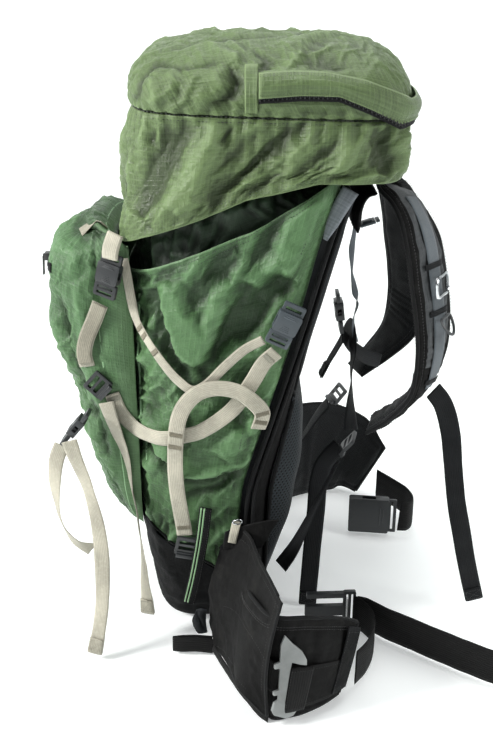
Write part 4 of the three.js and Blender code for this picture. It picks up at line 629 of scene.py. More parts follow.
# ------------------------------------------------------------------ main bag
def build_bag():
    NU, NV = 300, 150
    S = np.array([[118.2, -0.68], [160, -0.5], [210, -0.3], [265, -0.12], [320, 0], [375, 0.1], [430, 0.2], [480, 0.3], [529, 0.42]])
    th = even_angles(lambda t: bag_xyz(t, 350, 0.05, 0), NU)
    v = np.linspace(0, len(S) - 1, NV); f = np.arange(len(S)); z0, sl = np.interp(v, f, S[:, 0]), np.interp(v, f, S[:, 1])
    P = bag_xyz(np.tile(th, (NV, 1)), z0[:, None], sl[:, None], 1.2)
    N = grid_normals(P, True); c = P.mean((0, 1)); 
    if ((P - c) * N).sum() < 0: N = -N
    back = smooth(P[..., 0] - (tab(BACK, P[..., 2]) - 14), 0, 10); front = smooth(tab(FRONT, P[..., 2]) + 16 - P[..., 0], 0, 12) * smooth(115 - np.abs(P[..., 1]), 0, 12)
    keep = (1 - back) * (1 - 0.8 * front)
    d = 1.55 * creases(P, SIDE_FOLDS) + 1.2 * creases(P, SIDE_FOLDS, near=False)
    d = 1.25 * d + 6 * crumple(P, 54, 3, (-0.5, 0), 1.2) + 2.0 * crumple(P, 27, 7, (-0.9, 0), 1.3) + 1.3 * crumple(P, 10, 9, (0.5, 0)) + 7.0 * pleat(P, 46, 61, -0.55) + 3.4 * pleat(P, 20, 63, -0.9) + 1.6 * pleat(P, 12, 65, 0.5) + 2.0 * fbm(P, 80, 5, 2)
    # cloth gathers at its lower edge and is pulled in where the straps cross
    d = d + 2.0 * np.exp(-((v - 0.35) / 0.6) ** 2)[:, None] * np.sin(np.arange(NU) * 2 * np.pi / NU * 46 + 4.2 * vnoise(np.c_[np.arange(NU) / 9.0, np.zeros(NU), np.zeros(NU)], 4))[None]
    for y in (-1, 1):
        q = np.hypot((P[..., 0] - 15) / 60, (P[..., 2] - 362) / 34); d = d - 6.0 * np.exp(-q ** 2) * (P[..., 1] * y > 40)
    edge = np.minimum(smooth(v, 0, 0.25), smooth(v[-1] - v, 0, 0.2))[:, None]
    d = np.clip(d - 1.5, -17, 7) * (0.35 + 0.65 * edge)
    d, hold = press(P, N, d, STRAPS_NEAR, side=1)
    P = P + N * (d * keep)[..., None]
    # the upper hem climbs to the frame
    up = np.interp(P[..., 0], [100, 129, 160, 180, 200], [0, 7, 13, 17, 17]) * smooth(-P[..., 1], 90, 130) * smooth(v / v[-1], 0.55, 1)[:, None]
    P[..., 2] += up
    o = surface("main_bag_cloth", P, [GREEN], closed_u=True, fab=with_folds(P, d, True))
    pin = np.zeros((NV, NU)); pin[:2] = 1; pin[-3:] = 1; pin = np.maximum(pin, back); pin = np.maximum(pin, 0.9 * front); pin = np.maximum(pin, 0.12); pin = np.maximum(pin, hold)
    cloth(o, pin, frames=16, pressure=0.6, shrink=-0.035, cap=7, bend=0.35, tension=10)
    thicken(o, 1.1, -1.0 if True else 1)
    return o, P, N

def ring_path(P, v_index, lift, N=None):
    ring = P[v_index]; return np.concatenate([ring, ring[:1]])

def add_piece(o, body="pack", repl=()):
    if body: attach(o, body)
    if repl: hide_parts(*repl)
    return o

bag, BAGP, BAGN = build_bag()
add_piece(bag, "pack", ["main_bag"])

# lines placed on the side of the bag, for the stitches along the side panel's upper edge and its seams
def along_grid(P, N, pts, near=True, lift=0.0, swap=None, side_mask=None, step=3.0):
    """projects an (x, z) line onto the side of a grid surface: points and normals"""
    pts = np.asarray(pts, float); c, _ = catmull(np.c_[pts, np.zeros(len(pts))], (len(pts) - 1) * 16)
    s = np.r_[0, np.cumsum(np.linalg.norm(np.diff(c, axis=0), axis=1))]; q = np.linspace(0, s[-1], max(3, int(s[-1] / step)))
    X, Z = np.interp(q, s, c[:, 0]), np.interp(q, s, c[:, 1])
    A, B = P.reshape(-1, 3), N.reshape(-1, 3); m = A[:, 1] < -20 if near else A[:, 1] > 20; A, B = A[m], B[m]; out, nn = [], []
    for x, z in zip(X, Z):
        d2 = (A[:, 0] - x) ** 2 + (A[:, 2] - z) ** 2; k = np.argsort(d2)[:6]; w = 1 / (d2[k] + 4); w /= w.sum()
        n = unit((B[k] * w[:, None]).sum(0)); y = (A[k, 1] * w).sum()
        out.append(np.array([x, y, z]) + n * lift); nn.append(n)
    out, nn = np.array(out), np.array(nn)
    for _ in range(3):
        out[1:-1] = 0.5 * out[1:-1] + 0.25 * (out[2:] + out[:-2]); nn[1:-1] = 0.5 * nn[1:-1] + 0.25 * (nn[2:] + nn[:-2])
    return out, unit(nn)

# ------------------------------------------------------------------ snow collar
def build_collar():
    NU, NV = 240, 60
    th = even_angles(lambda t: ring_xyz(t, -50, 175, 125, 560, 0.2, 2.6, 3.2), NU)
    R = [("b", 482, .3, 18), ("b", 530, .4, 17), (-56, 182, 128, 578, .28), (-38, 166, 108, 618, .16), (-20, 150, 88, 640, .06)]
    rows = [bag_xyz(th, a[1], a[2], a[3] + 1) if a[0] == "b" else ring_xyz(th, a[0] + 1, a[1] - 1, a[2] - 1, a[3], a[4], 2.6, 3.2) for a in R]
    rows = np.array(rows); v = np.linspace(0, len(R) - 1, NV); i = np.minimum(v.astype(int), len(R) - 2); u = (v - i)[:, None, None]; u = u
    P = rows[i] * (1 - u) + rows[i + 1] * u; P = settle(P, True, 2)
    N = grid_normals(P, True); c = P.mean((0, 1)); N = N if ((P - c) * N).sum() > 0 else -N
    a = np.arange(NU) * 2 * np.pi / NU; g = v / v[-1]
    gath = (np.sin(a * 38 + 3 * vnoise(np.c_[a * 3, 0 * a, 0 * a], 3)) + 0.6 * np.sin(a * 61 + 4 * vnoise(np.c_[a * 5, 0 * a, 0 * a], 6)))[None] * (0.6 + 3.2 * g[:, None] ** 1.5)
    d = gath + 8.0 * crumple(P, 38, 12, (-0.6, 0), 1.2) + 3.0 * crumple(P, 18, 14, (0.5, 0))
    d = np.clip(d, -8, 6.0)
    P = P + N * d[..., None]
    o = surface("collar_cloth", P, [COLLAR], closed_u=True, fab=with_folds(P, d, True)); thicken(o, 0.8)
    return o, P, N
collar, COLP, COLN = build_collar(); add_piece(collar, "pack", ["snow_collar"])
cordring = np.concatenate([COLP[-2], COLP[-2][:1]]) + np.array([0, 0, 1.0])
v_, f_, b_, _ = tube_data(cordring[::6], 1.6, 4.0, 8); o = join_meshes("collar_drawcord", [(v_, f_, b_)], [THREADW]); add_piece(o, "pack")

# ------------------------------------------------------------------ bottom
def build_bottom():
    NU, NV = 260, 60
    O = np.array([[0, 0, 0], [6, 0, 0], [12, 0, 0], [45, -.15, 0], [80, -.4, 0], [117, -.68, 0]])
    th = even_angles(lambda t: bag_xyz(t, 60, -.2, 0), NU)
    v = np.linspace(0, len(O) - 1, NV); f = np.arange(len(O)); z0, sl = np.interp(v, f, O[:, 0]), np.interp(v, f, O[:, 1])
    P = bag_xyz(np.tile(th, (NV, 1)), z0[:, None], sl[:, None], 0.8); N = grid_normals(P, True); c = P.mean((0, 1)); N = N if ((P - c) * N).sum() > 0 else -N
    d = 2.2 * ridged(P, (40, 50, 26), 21, 2) + 1.0 * ridged(P, (16, 20, 14), 22, 2)
    d = np.clip(d, -4, 2.5) * smooth(P[..., 2], 3, 26)
    P = P + N * d[..., None]; P[..., 2] = np.maximum(P[..., 2], 0.4)
    # close the base with shrinking rings
    k = 12; cx = P[0].mean(0); inner = np.array([cx + (P[0] - cx) * (1 - (j + 1) / (k + 0.4)) for j in range(k)])[::-1]; inner[..., 2] = 0.4
    Q = np.concatenate([inner, P]); hub = len(Q) * NU
    F = grid_faces(len(Q), NU, True).tolist() + [[hub, (i + 1) % NU, i] for i in range(NU)]
    V = np.r_[Q.reshape(-1, 3), [[cx[0], cx[1], 0.4]]]; fab = np.r_[grid_fab(Q), [[0, 0, 0]]]
    o = make("bottom_cloth", V, F, [BASEC], fab=fab)
    import bmesh
    bm = bmesh.new(); bm.from_mesh(o.data); bmesh.ops.recalc_face_normals(bm, faces=bm.faces); bm.to_mesh(o.data); bm.free()
    s = o.modifiers.new("wall", "SOLIDIFY"); s.thickness = 0.0014; s.offset = -1; apply_mods(o)
    return o, P, N
bottom, BOTP, BOTN = build_bottom(); add_piece(bottom, "pack", ["bottom_panel"])

# ------------------------------------------------------------------ front pocket
POCKET_H = [[0, 0], [0.05, 24], [0.12, 40], [0.25, 50], [0.38, 62], [0.5, 74], [0.62, 88], [0.74, 91], [0.84, 84], [0.91, 67], [0.955, 46], [0.98, 27], [1, 6]]
POCKET_Z = [[0, 152], [0.05, 158], [0.12, 185], [0.25, 240], [0.38, 300], [0.5, 348], [0.62, 405], [0.74, 462], [0.84, 512], [0.91, 546], [0.955, 563], [0.98, 558], [1, 530]]
def front_x(y, z, nf=2.7):
    xf, xb, hy = tab(FRONT, z), tab(BACK, z), tab(HALF, z); xc, a = (xf + xb) / 2, (xb - xf) / 2
    return xc - a * np.maximum(1 - (np.abs(y) / hy) ** nf, 0) ** (1 / nf)
def pocket_grid(nu, nv, lift=6.0, thin=0.0):
    u, v = np.meshgrid(np.linspace(0, 1, nu), np.linspace(0, 1, nv)); s = u * 2 - 1; q = np.sign(s) * np.abs(s) ** 0.62
    side = np.maximum(1 - np.abs(q) ** 9, 0) ** 0.45; h = np.maximum(tab(POCKET_H, v) * side - thin, 0)
    yw = 106 - 12 * (np.abs(v - .5) * 2) ** 3; zt, zs = tab(POCKET_Z, v), 152 + (530 - 152) * v; z = zs + (zt - zs) * side
    y = q * yw; return np.stack([front_x(y, zs) - lift - h, y, z], -1)
def build_pocket():
    nu, nv = 190, 190
    P = pocket_grid(nu, nv, 5.0); P = settle(P, False, 1)
    N = grid_normals(P); N = N if N[nv // 2, nu // 2, 0] < 0 else -N
    u, v = np.meshgrid(np.linspace(-1, 1, nu), np.linspace(0, 1, nv)); inner = smooth(1 - np.abs(u), 0, .12) * smooth(np.minimum(v, 1 - v), 0, .05)
    folds = [([(-150, 520), (-152, 450), (-140, 380), (-122, 300)], 9, -6, 1.3), ([(-130, 525), (-122, 450), (-112, 380), (-104, 320)], 9, 5), ([(-165, 500), (-165, 440), (-150, 350)], 8, 4),
             ([(-100, 470), (-104, 430), (-98, 380)], 10, -6), ([(-90, 440), (-78, 420), (-82, 380)], 9, 5), ([(-120, 330), (-110, 300), (-100, 250)], 9, -5), ([(-90, 330), (-92, 290), (-88, 240)], 8, 5)]
    d = 1.5 * creases(P, folds) + 1.5 * creases(P, folds, near=False)
    d = d + 6 * crumple(P, 50, 31, (0.12, 0), 1.2) + 2.0 * crumple(P, 25, 33, (-0.4, 0), 1.3) + 1.3 * crumple(P, 10, 36, (0.3, 0)) + 7.0 * pleat(P, 44, 91, 0.25) + 3.4 * pleat(P, 19, 93, -0.35) + 2.4 * fbm(P, 80, 35, 2)
    zipk = np.exp(-((P[..., 2] - 498) / 13) ** 4) * smooth(82 - np.abs(P[..., 1]), 0, 14) * (P[..., 0] < -110); d = d * (1 - zipk) + 0.5 * zipk
    d = np.clip(d - 1.5, -17, 6) * inner
    zb = np.exp(-((P[..., 1] + 30) / 62) ** 2 - ((P[..., 2] - 494) / 42) ** 2) * (P[..., 0] < -105); d = d * (1 - zb) + zb * np.clip(P[..., 0] + 164.5, -4, 13)
    d = d - 13 * smooth(P[..., 2], 518, 558) * inner * (1 - zb)
    d, hold = press(P, N, d, [("lid_strap", 20), ("side_tail", 20), ("compression_strap", 20), ("cross_strap", 12)]); P = P + N * d[..., None]
    o = surface("front_pocket_cloth", P, [POCK], fab=with_folds(P, d))
    pin = np.zeros((nv, nu)); pin[:2] = pin[-2:] = 1; pin[:, :2] = pin[:, -2:] = 1; pin = np.maximum(pin, 0.1); pin = np.maximum(pin, hold)
    cloth(o, pin, frames=16, pressure=0.6, shrink=-0.04, cap=7, bend=0.35, tension=10)
    thicken(o, 1.0)
    return o, P, N
pocket, POCP, POCN = build_pocket(); add_piece(pocket, "pack", ["front_pocket"])

# ------------------------------------------------------------------ lid
SKIRT = np.array([[-76, 263, 160, 573, .19], [-72, 265, 159, 605, .14], [-66, 267, 157, 645, .06], [-58, 268, 152, 685.2, -.03]], float)
DOME = np.array([[-58, 268, 152, 685.6, -.03], [-61, 271, 156, 704, -.03], [-55, 263, 150, 726, -.02], [-36, 240, 130, 746, 0], [-2, 205, 98, 758, .02], [40, 160, 55, 764, .02], [85, 110, 14, 766, 0]], float)
def hermite_rows(A, f):
    return np.stack([tab(np.c_[np.arange(len(A)), A[:, k]], f) for k in range(A.shape[1])], 1)
def lid_grid(A, NU, NV, inset=0.0, spread=None):
    th = even_angles(lambda t: ring_xyz(t, -60, 268, 155, 650, 0, 4.0, 4.6), NU)
    f = np.linspace(0, len(A) - 1, NV) if spread is None else spread
    R = hermite_rows(A, f); return np.array([ring_xyz(th, r[0] + inset, r[1] - inset, r[2] - inset, r[3], r[4], 4.0, 4.6) for r in R]), th, f
def outward(P, N):
    c = P.mean((0, 1)); return N if ((P - c) * N).sum() > 0 else -N

def build_skirt():
    NU, NV = 340, 90
    P, th, f = lid_grid(SKIRT, NU, NV, 0.8); N = outward(P, grid_normals(P, True)); v = f / f[-1]
    d = 1.5 * creases(P, SKIRT_FOLDS) + 1.2 * creases(P, [([(x * 0.9 + 14, z) for x, z in l[0]],) + tuple(l[1:]) for l in SKIRT_FOLDS], near=False)
    d = 1.25 * d + 5 * crumple(P, 58, 41, (-0.95, 0), 1.2) + 2.0 * crumple(P, 28, 43, (-0.7, 0), 1.3) + 1.2 * crumple(P, 10, 45, (-1.2, 0)) + 7.5 * pleat(P, 50, 71, -0.95) + 3.6 * pleat(P, 22, 73, -0.7) + 1.6 * pleat(P, 12, 75, -1.2) + 2.0 * fbm(P, 90, 44, 2)
    # gathers below the seam, fading down the skirt
    a = np.arange(NU); g = np.sin(a * 2 * np.pi / NU * 58 + 5 * vnoise(np.c_[a / 16, 0 * a, 0 * a], 9))
    top = np.exp(-((1 - v) / 0.05))[:, None]; near_top = np.exp(-((1 - v) / 0.16))[:, None]
    d = d * (1 - near_top * .6) + 2.0 * g[None] * near_top; d = d * (1 - top) + (1.0 * g[None] - 3.2) * top
    # folds on the front and back walls
    for y, w, h in ((-90, 16, -4), (-40, 14, 4), (10, 18, -5), (60, 14, 4), (105, 12, -4)):
        for xx in (-70, 265):
            d = d + h * np.exp(-((P[..., 1] - y + 0.35 * (P[..., 2] - 640)) / w) ** 2) * np.exp(-((P[..., 0] - xx) / 30) ** 2) * np.sin(np.pi * np.clip(v, 0, 1))[:, None] ** 0.5
    d = np.clip(d - 1.0, -16, 8) * (0.35 + 0.65 * smooth(v, 0, .2))[:, None]
    # the hem is cut in an arch over the near side
    lift_ = np.interp(P[..., 0], [-76, -40, 29, 79, 159, 220, 263], [-6, 4, 16, 28, 31, 18, 7]); P[..., 2] += lift_ * (1 - smooth(v, 0, .62))[:, None]
    hem = 0.8 * np.exp(-((v - 0.035) / 0.02) ** 2)[:, None]
    P = P + N * (d + hem)[..., None]
    o = surface("lid_skirt_cloth", P, [LIDG], closed_u=True, fab=with_folds(P, d, True))
    pin = np.zeros((NV, NU)); pin[:3] = 1; pin[-2:] = 1; pin = np.maximum(pin, 0.1)
    cloth(o, pin, frames=16, pressure=0.7, shrink=-0.035, cap=7, bend=0.3, tension=10)
    thicken(o, 1.0)
    return o, P, N, th
skirt, SKP, SKN, LTH = build_skirt(); add_piece(skirt, "lid", ["lid_skirt"])

def build_dome():
    NU, NV = 340, 120
    f = np.concatenate([np.linspace(0, 2, 52)[:-1], np.linspace(2, 4, 40)[:-1], np.linspace(4, 6, 30)]); NV = len(f)
    P, th, _ = lid_grid(DOME, NU, NV, 0.8, f); P = settle(P, True, 2); N = outward(P, grid_normals(P, True)); v = f / 6
    a = np.arange(NU)
    # gathers above the seam
    g = np.sin(a * 2 * np.pi / NU * 58 + 5 * vnoise(np.c_[a / 16, 0 * a, 0 * a], 9)); low = np.exp(-(f / 0.30))
    d = 5.5 * fbm(P, (130, 120, 100), 51, 2) + 2.5 * crumple(P, 60, 54, (-0.6, 0), 1.2) + 1.2 * crumple(P, 28, 52, (0.5, 0), 1.3) + 0.8 * crumple(P, 10, 57, (0.5, 0)) + 4.2 * pleat(P, 52, 81, 0.45) + 3.0 * pleat(P, 24, 83, -0.6) + 1.4 * pleat(P, 12, 85, 0.9)
    seamw = np.exp(-(f / 0.10))[:, None]; d = d * (1 - 0.7 * low[:, None]) + (2.4 * g[None] + 1.5) * low[:, None]; d = d * (1 - seamw) + (1.0 * g[None] - 3.2) * seamw
    dome_folds = [([(-48, 700), (-40, 726), (-22, 744), (0, 742), (28, 742), (56, 746), (70, 728)], 5, -6, 6), ([(70, 735), (64, 716), (52, 706), (34, 702)], 8, -7, 1.3), ([(58, 728), (44, 712), (20, 708)], 9, 5),
                  ([(-30, 730), (-20, 712), (-28, 698)], 9, 5), ([(20, 756), (50, 750), (72, 752), (96, 744)], 9, 4), ([(70, 752), (96, 748), (120, 750)], 9, -5), ([(130, 752), (160, 748), (190, 744)], 9, -4)]
    d = d + 0.9 * creases(P, dome_folds) + 0.8 * creases(P, dome_folds, near=False)
    # shallow dish and folds on the top
    X, Y = P[..., 0], P[..., 1]; top = smooth(f, 2.6, 4.0)[:, None]
    for (x0, y0, x1, y1, w, h) in ((-20, -70, 120, -30, 12, -5), (40, 40, 220, 70, 14, -5), (0, 60, 90, 10, 10, 4), (120, -90, 200, -10, 12, 5), (150, 20, 230, -40, 11, -4), (-30, 20, 40, 90, 12, -4)):
        dx, dy = x1 - x0, y1 - y0; t = np.clip(((X - x0) * dx + (Y - y0) * dy) / (dx * dx + dy * dy), 0, 1); r = np.hypot(X - x0 - t * dx, Y - y0 - t * dy)
        d = d + h * np.exp(-(r / w) ** 2) * top * np.sin(np.pi * np.clip(t * .9 + .05, 0, 1)) ** .5
    d = np.clip(d - 1.5, -18, 9) * (1 - 0.6 * smooth(f, 5.2, 6))[:, None]
    # the zip side is held flatter
    zipzone = smooth(-Y, 110, 150) * smooth(X, 86, 100) * smooth(P[..., 2], 690, 700) * smooth(742 - P[..., 2], 0, 8)
    d = d * (1 - 0.75 * zipzone)
    P = P + N * d[..., None]; P[..., 2] = np.minimum(P[..., 2], 773)
    nv = NV; hub = nv * NU; F = grid_faces(nv, NU, True).tolist() + [[(nv - 1) * NU + i, (nv - 1) * NU + (i + 1) % NU, hub] for i in range(NU)]
    V = np.r_[P.reshape(-1, 3), [P[-1].mean(0) + np.array([0, 0, .3])]]
    fb = np.zeros((nv, NU, 3)); fb[..., 0] = P[..., 0] + 0.55 * P[..., 2]; fb[..., 1] = P[..., 1] + 0.83 * P[..., 2]; fb[..., 2] = with_folds(P, d, True).reshape(P.shape)[..., 2]
    fab = np.r_[fb.reshape(-1, 3), [[0, 0, 0]]]
    o = make("lid_top_cloth", V, F, [LIDG], fab=fab)
    pin = np.zeros((nv, NU)); pin[:2] = 1; pin = np.maximum(pin, 0.08); pin = np.maximum(pin, 0.8 * zipzone); pin = np.r_[pin.ravel(), [0.1]]
    cloth(o, pin, frames=16, pressure=0.9, shrink=-0.03, cap=7, bend=0.35, tension=10)
    thicken(o, 1.0)
    return o, P, N, f
dome, DMP, DMN, DMF = build_dome(); add_piece(dome, "lid", ["lid_pocket"])

# seam cord between skirt and top, with thread
seam = np.concatenate([SKP[-1], SKP[-1][:1]]) * 0.5 + np.concatenate([DMP[0], DMP[0][:1]]) * 0.5; seamN = np.concatenate([SKN[-1], SKN[-1][:1]])
v_, f_ = stitch_data(seam[::1] + seamN * 0.6, None, seamN, 5.2, 3.6, .62, .7); o = join_meshes("lid_seam_cord", [(v_, f_)], [THREADD]); add_piece(o, "lid")
sp = SKP[-4]; v_, f_ = stitch_data(np.concatenate([sp, sp[:1]]), None, np.concatenate([SKN[-4], SKN[-4][:1]]), 4.6, 3.0, .36); o = join_meshes("lid_seam_thread", [(v_, f_)], [THREADD]); add_piece(o, "lid")
# hem stitches along the skirt's lower edge, two rows
parts = []
for k in (5, 9):
    sp = SKP[k]; v_, f_ = stitch_data(np.concatenate([sp, sp[:1]]), None, np.concatenate([SKN[k], SKN[k][:1]]), 4.2, 2.6, .3, .2); parts.append((v_, f_))
o = join_meshes("lid_hem_thread", parts, [THREADG]); add_piece(o, "lid")

# storm flap over the lid zip, from the near side round the back to the far side
def side_wall(xs_, zs_, lift, near=True):
    A, B = DMP.reshape(-1, 3), DMN.reshape(-1, 3); m = (A[:, 1] < 0) if near else (A[:, 1] > 0); A, B = A[m], B[m]; out, nn = [], []
    for x, z in zip(xs_, zs_):
        d2 = (A[:, 0] - x) ** 2 + (A[:, 2] - z) ** 2 + np.where(A[:, 2] > 752, 900, 0); k = np.argsort(d2)[:8]; w = 1 / (d2[k] + 6); w /= w.sum()
        n = unit((B[k] * w[:, None]).sum(0)); out.append((A[k] * w[:, None]).sum(0) + n * lift); nn.append(n)
    return np.array(out), np.array(nn)

def ring_walk(n, x_start, end_far):
    """stations round the lid's wall from the near side, round the back, to the far side: plan points and outward plan normals"""
    t = np.linspace(0, 2 * np.pi, 4001); p = ring_xyz(t, -61, 271, 156, 704, 0, 4.0, 4.6); t0 = None
    near = np.nonzero((p[:, 1] < 0))[0]; i0 = near[np.argmin(np.abs(p[near, 0] - x_start))]; far = np.nonzero(p[:, 1] > 0)[0]; i1 = far[np.argmin(np.abs(p[far, 0] - end_far))]
    seq = np.concatenate([np.arange(i0, 4000), np.arange(0, i1 + 1)]); q = p[seq]; s = np.r_[0, np.cumsum(np.linalg.norm(np.diff(q, axis=0), axis=1))]
    tt = np.linspace(0, s[-1], n); C = np.stack([np.interp(tt, s, q[:, k]) for k in range(3)], 1); T = unit(np.gradient(C, axis=0)); Nn = np.stack([T[:, 1], -T[:, 0], 0 * T[:, 0]], 1)
    Nn = Nn * np.sign(((C - [105, 0, 704]) * Nn).sum(1))[:, None]
    return C, Nn, tt, s[-1]

C, NN, S, LL = ring_walk(150, 92, 60)
zt = np.interp(S, [0, 34, 70, 112, 150, 175, 260, 420, LL], [734, 736, 735, 727, 713, 704, 706, 712, 716]); zb = np.interp(S, [0, 45, 86, 120, 158, 176, 260, 420, LL], [708, 711, 710, 696, 678, 680, 684, 690, 694])
rows = []
for k in range(15):
    q = k / 14; z = zt * (1 - q) + zb * q
    out = 2.0 + 5.5 * math.sin(math.pi * min(q * 1.15, 1)) ** .8 + 2.2 * q + 1.3 * np.sin(S / 17 + 2 * q) * q + 1.4 * vnoise(np.c_[S / 38, q * 2 + 0 * S, 0 * S], 61)
    lean = np.clip((z - 722) / 24, 0, 1) * 7
    rows.append(C + NN * (out - lean)[:, None] + np.c_[0 * S, 0 * S, z - C[:, 2]])
flapP = np.array(rows); o = surface("lid_zip_flap", flapP, [LIDG]); thicken(o, 1.3, 0); add_piece(o, "lid")
parts = []
NB = unit(np.cross(np.gradient(flapP, axis=1), np.gradient(flapP, axis=0))); NB = NB * np.sign((NB * NN[None]).sum(-1, keepdims=True))
for k in (1, 2, 12):
    row_, nrm_ = (flapP[k], NB[k]) if k < 5 else (flapP[k][flapP[k][:, 1] < 90], NB[k][flapP[k][:, 1] < 90])
    v_, f_ = stitch_data(row_, None, nrm_, 3.6, 2.3, .34, .7); parts.append((v_, f_))
o = join_meshes("lid_flap_thread", parts, [THREADD]); add_piece(o, "lid")
# zip tape, teeth and end tab below the flap
zz = zb - 0.5; tape = np.array([C + NN * (2.2) + np.c_[0 * S, 0 * S, (zz + 5 - 3.4 * k) - C[:, 2]] for k in range(4)])
o = surface("lid_zip_tape", tape, [BIND]); thicken(o, 0.8, 0); add_piece(o, "lid")
parts = []
mid = (tape[1] + tape[2]) / 2 + NN * 0.9
s2 = np.arange(1.2, LL, 2.4)
at = lambda A, x: np.stack([np.interp(x, S, A[:, k]) for k in range(3)], 1)
cc, nn, tt = at(mid, s2), unit(at(NN, s2)), unit(at(np.gradient(mid, axis=0), s2))
V, F = [], []
for i in range(len(s2)):
    up = np.array([0, 0, 1.0]); sgn = 1 if i % 2 else -1
    for a_, b_, c_ in [(-1, -1, -1), (1, -1, -1), (1, 1, -1), (-1, 1, -1), (-.7, -.8, 1), (.7, -.8, 1), (.7, .8, 1), (-.7, .8, 1)]:
        V.append(cc[i] + tt[i] * a_ * 0.75 + up * (b_ * 1.7 + sgn * 0.8) + nn[i] * (c_ * 0.7))
    b = 8 * i; F += [[b, b + 3, b + 2, b + 1], [b + 4, b + 5, b + 6, b + 7], [b, b + 1, b + 5, b + 4], [b + 1, b + 2, b + 6, b + 5], [b + 2, b + 3, b + 7, b + 6], [b + 3, b, b + 4, b + 7]]
o = join_meshes("lid_zip_teeth", [(V, F)], [PDARK], smooth_on=False); add_piece(o, "lid")
def garage(name, x0, x1, z0, z1, lift, near=True, mat=LIDG):
    xs_, zs_ = np.linspace(x0, x1, 8), np.linspace(z1, z0, 14); g = []
    for k, z in enumerate(zs_):
        p, n = side_wall(xs_, np.full(8, z) + 0 * xs_, lift, near); g.append(p)
    g = settle(np.array(g), False, 2); o = surface(name, g, [mat]); thicken(o, 1.5, 0); return o, g
o, tabg = garage("lid_zip_end_tab", 77, 91, 693, 738, 3.0); add_piece(o, "lid")
# light tabs that hold the lid buckles
for side, s in (("near", 1), ("far", -1)):
    pts = np.array([[-72, -118 * s, 551], [-76, -119 * s, 541], [-79.5, -118.5 * s, 529], [-80, -116.8 * s, 520.5]])
    v_, f_, b_, *_ = ribbon_data(pts, [.9, -.36 * s, -.22], 20, 1.8, 2.0); v2, f2, b2, *_ = ribbon_data(pts + np.array([-1.2, -1.8 * s, 0]), [.9, -.36 * s, -.22], 20, 1.4, 2.0)
    o = join_meshes("lid_tab_" + side, [(v_, f_, b_), (v2, f2, b2)], [TAN]); add_piece(o, "lid")

# ------------------------------------------------------------------ back system
def pad_surface(name, back_fn, thick_fn, nrm_fn, nu, nv, mats, index_fn=None, closed_back=True):
    """a stuffed pad: a back sheet and a crowned face that meet at the rim"""
    u, v = np.meshgrid(np.linspace(0, 1, nu), np.linspace(0, 1, nv)); B = back_fn(u, v); T = thick_fn(u, v); N = nrm_fn(u, v)
    Fp = B + N * T[..., None]; n = nu * nv
    V = np.r_[Fp.reshape(-1, 3), (B - N * 0.4).reshape(-1, 3)]
    f1 = grid_faces(nv, nu); f2 = grid_faces(nv, nu)[:, ::-1] + n
    I = np.arange(n).reshape(nv, nu); rim = np.concatenate([I[0, :-1], I[:-1, -1], I[-1, :0:-1], I[:0:-1, 0]])
    r2 = np.roll(rim, -1); f3 = np.stack([rim, rim + n, r2 + n, r2], 1)
    fab = np.r_[grid_fab(Fp), grid_fab(B)]
    F = np.r_[f1, f2, f3]
    mi = None
    if index_fn is not None:
        uu, vv = (u[:-1, :-1] + u[1:, 1:]) / 2, (v[:-1, :-1] + v[1:, 1:]) / 2
        mi = np.r_[index_fn(uu, vv).ravel().astype(int), np.zeros(len(f2), int), np.zeros(len(f3), int)]
    o = make(name, V, F, mats, fab=fab, mat_index=mi)
    import bmesh
    bm = bmesh.new(); bm.from_mesh(o.data); bmesh.ops.recalc_face_normals(bm, faces=bm.faces); bm.to_mesh(o.data); bm.free()
    return o, Fp, N
XN = lambda u, v: np.stack([np.ones_like(u), 0 * u, -0.28 * smooth(v, .3, 1)], -1)
def panel_out(z): return tab(BACK, z) + 9.6 + tab(PANEL, z)
def bp_back(u, v):
    z = 74 + 524 * v; yw = 129 - 11 * np.maximum(0, (z - 300) / 300); return np.stack([tab(BACK, z) + 9.8, (2 * u - 1) * yw, z], -1)
def bp_thick(u, v):
    z = 74 + 524 * v; e = np.maximum(1 - np.abs(2 * u - 1) ** 9, 0) ** .5 * np.maximum(1 - np.abs(2 * v - 1) ** 26, 0) ** .5
    t = tab(PANEL, z) * e + 1.2 * ridged(np.stack([u * 250, v * 520, 0 * u], -1), 30, 71) * e * smooth(1 - np.abs(2 * u - 1), 0, .3)
    return np.maximum(t, 0.2)
flat_n = lambda u, v: np.stack([np.ones_like(u), 0 * u, 0 * u], -1)
o, BPF, _ = pad_surface("back_panel_pad", bp_back, bp_thick, flat_n, 90, 150, [BLACKC, SMOOTHB]); add_piece(o, "pack", ["back_panel"])
def up_back(u, v): z = 345 + 217 * v; return np.stack([panel_out(z) + .9, (2 * u - 1) * 97, z], -1)
def up_thick(u, v):
    e = (np.maximum(1 - np.abs(2 * u - 1) ** 6, 0) * np.maximum(1 - np.abs(2 * v - 1) ** 6, 0)) ** .5
    ch = np.exp(-((np.abs(2 * u - 1) - .42) / .035) ** 2) + np.exp(-((v - .5) / .02) ** 2) * (np.abs(2 * u - 1) < .42)
    return np.maximum(9.5 * e - 3.6 * ch * e, .2)
o, _, _ = pad_surface("upper_pad_mesh", up_back, up_thick, flat_n, 110, 90, [MESH]); add_piece(o, "pack", ["upper_back_pad"])
def lb_back(u, v): z = 80 + 258 * v; yw = 117 - 10 * np.abs(v * 2 - 1) ** 2.5; return np.stack([panel_out(z) + .9, (2 * u - 1) * yw, z], -1)
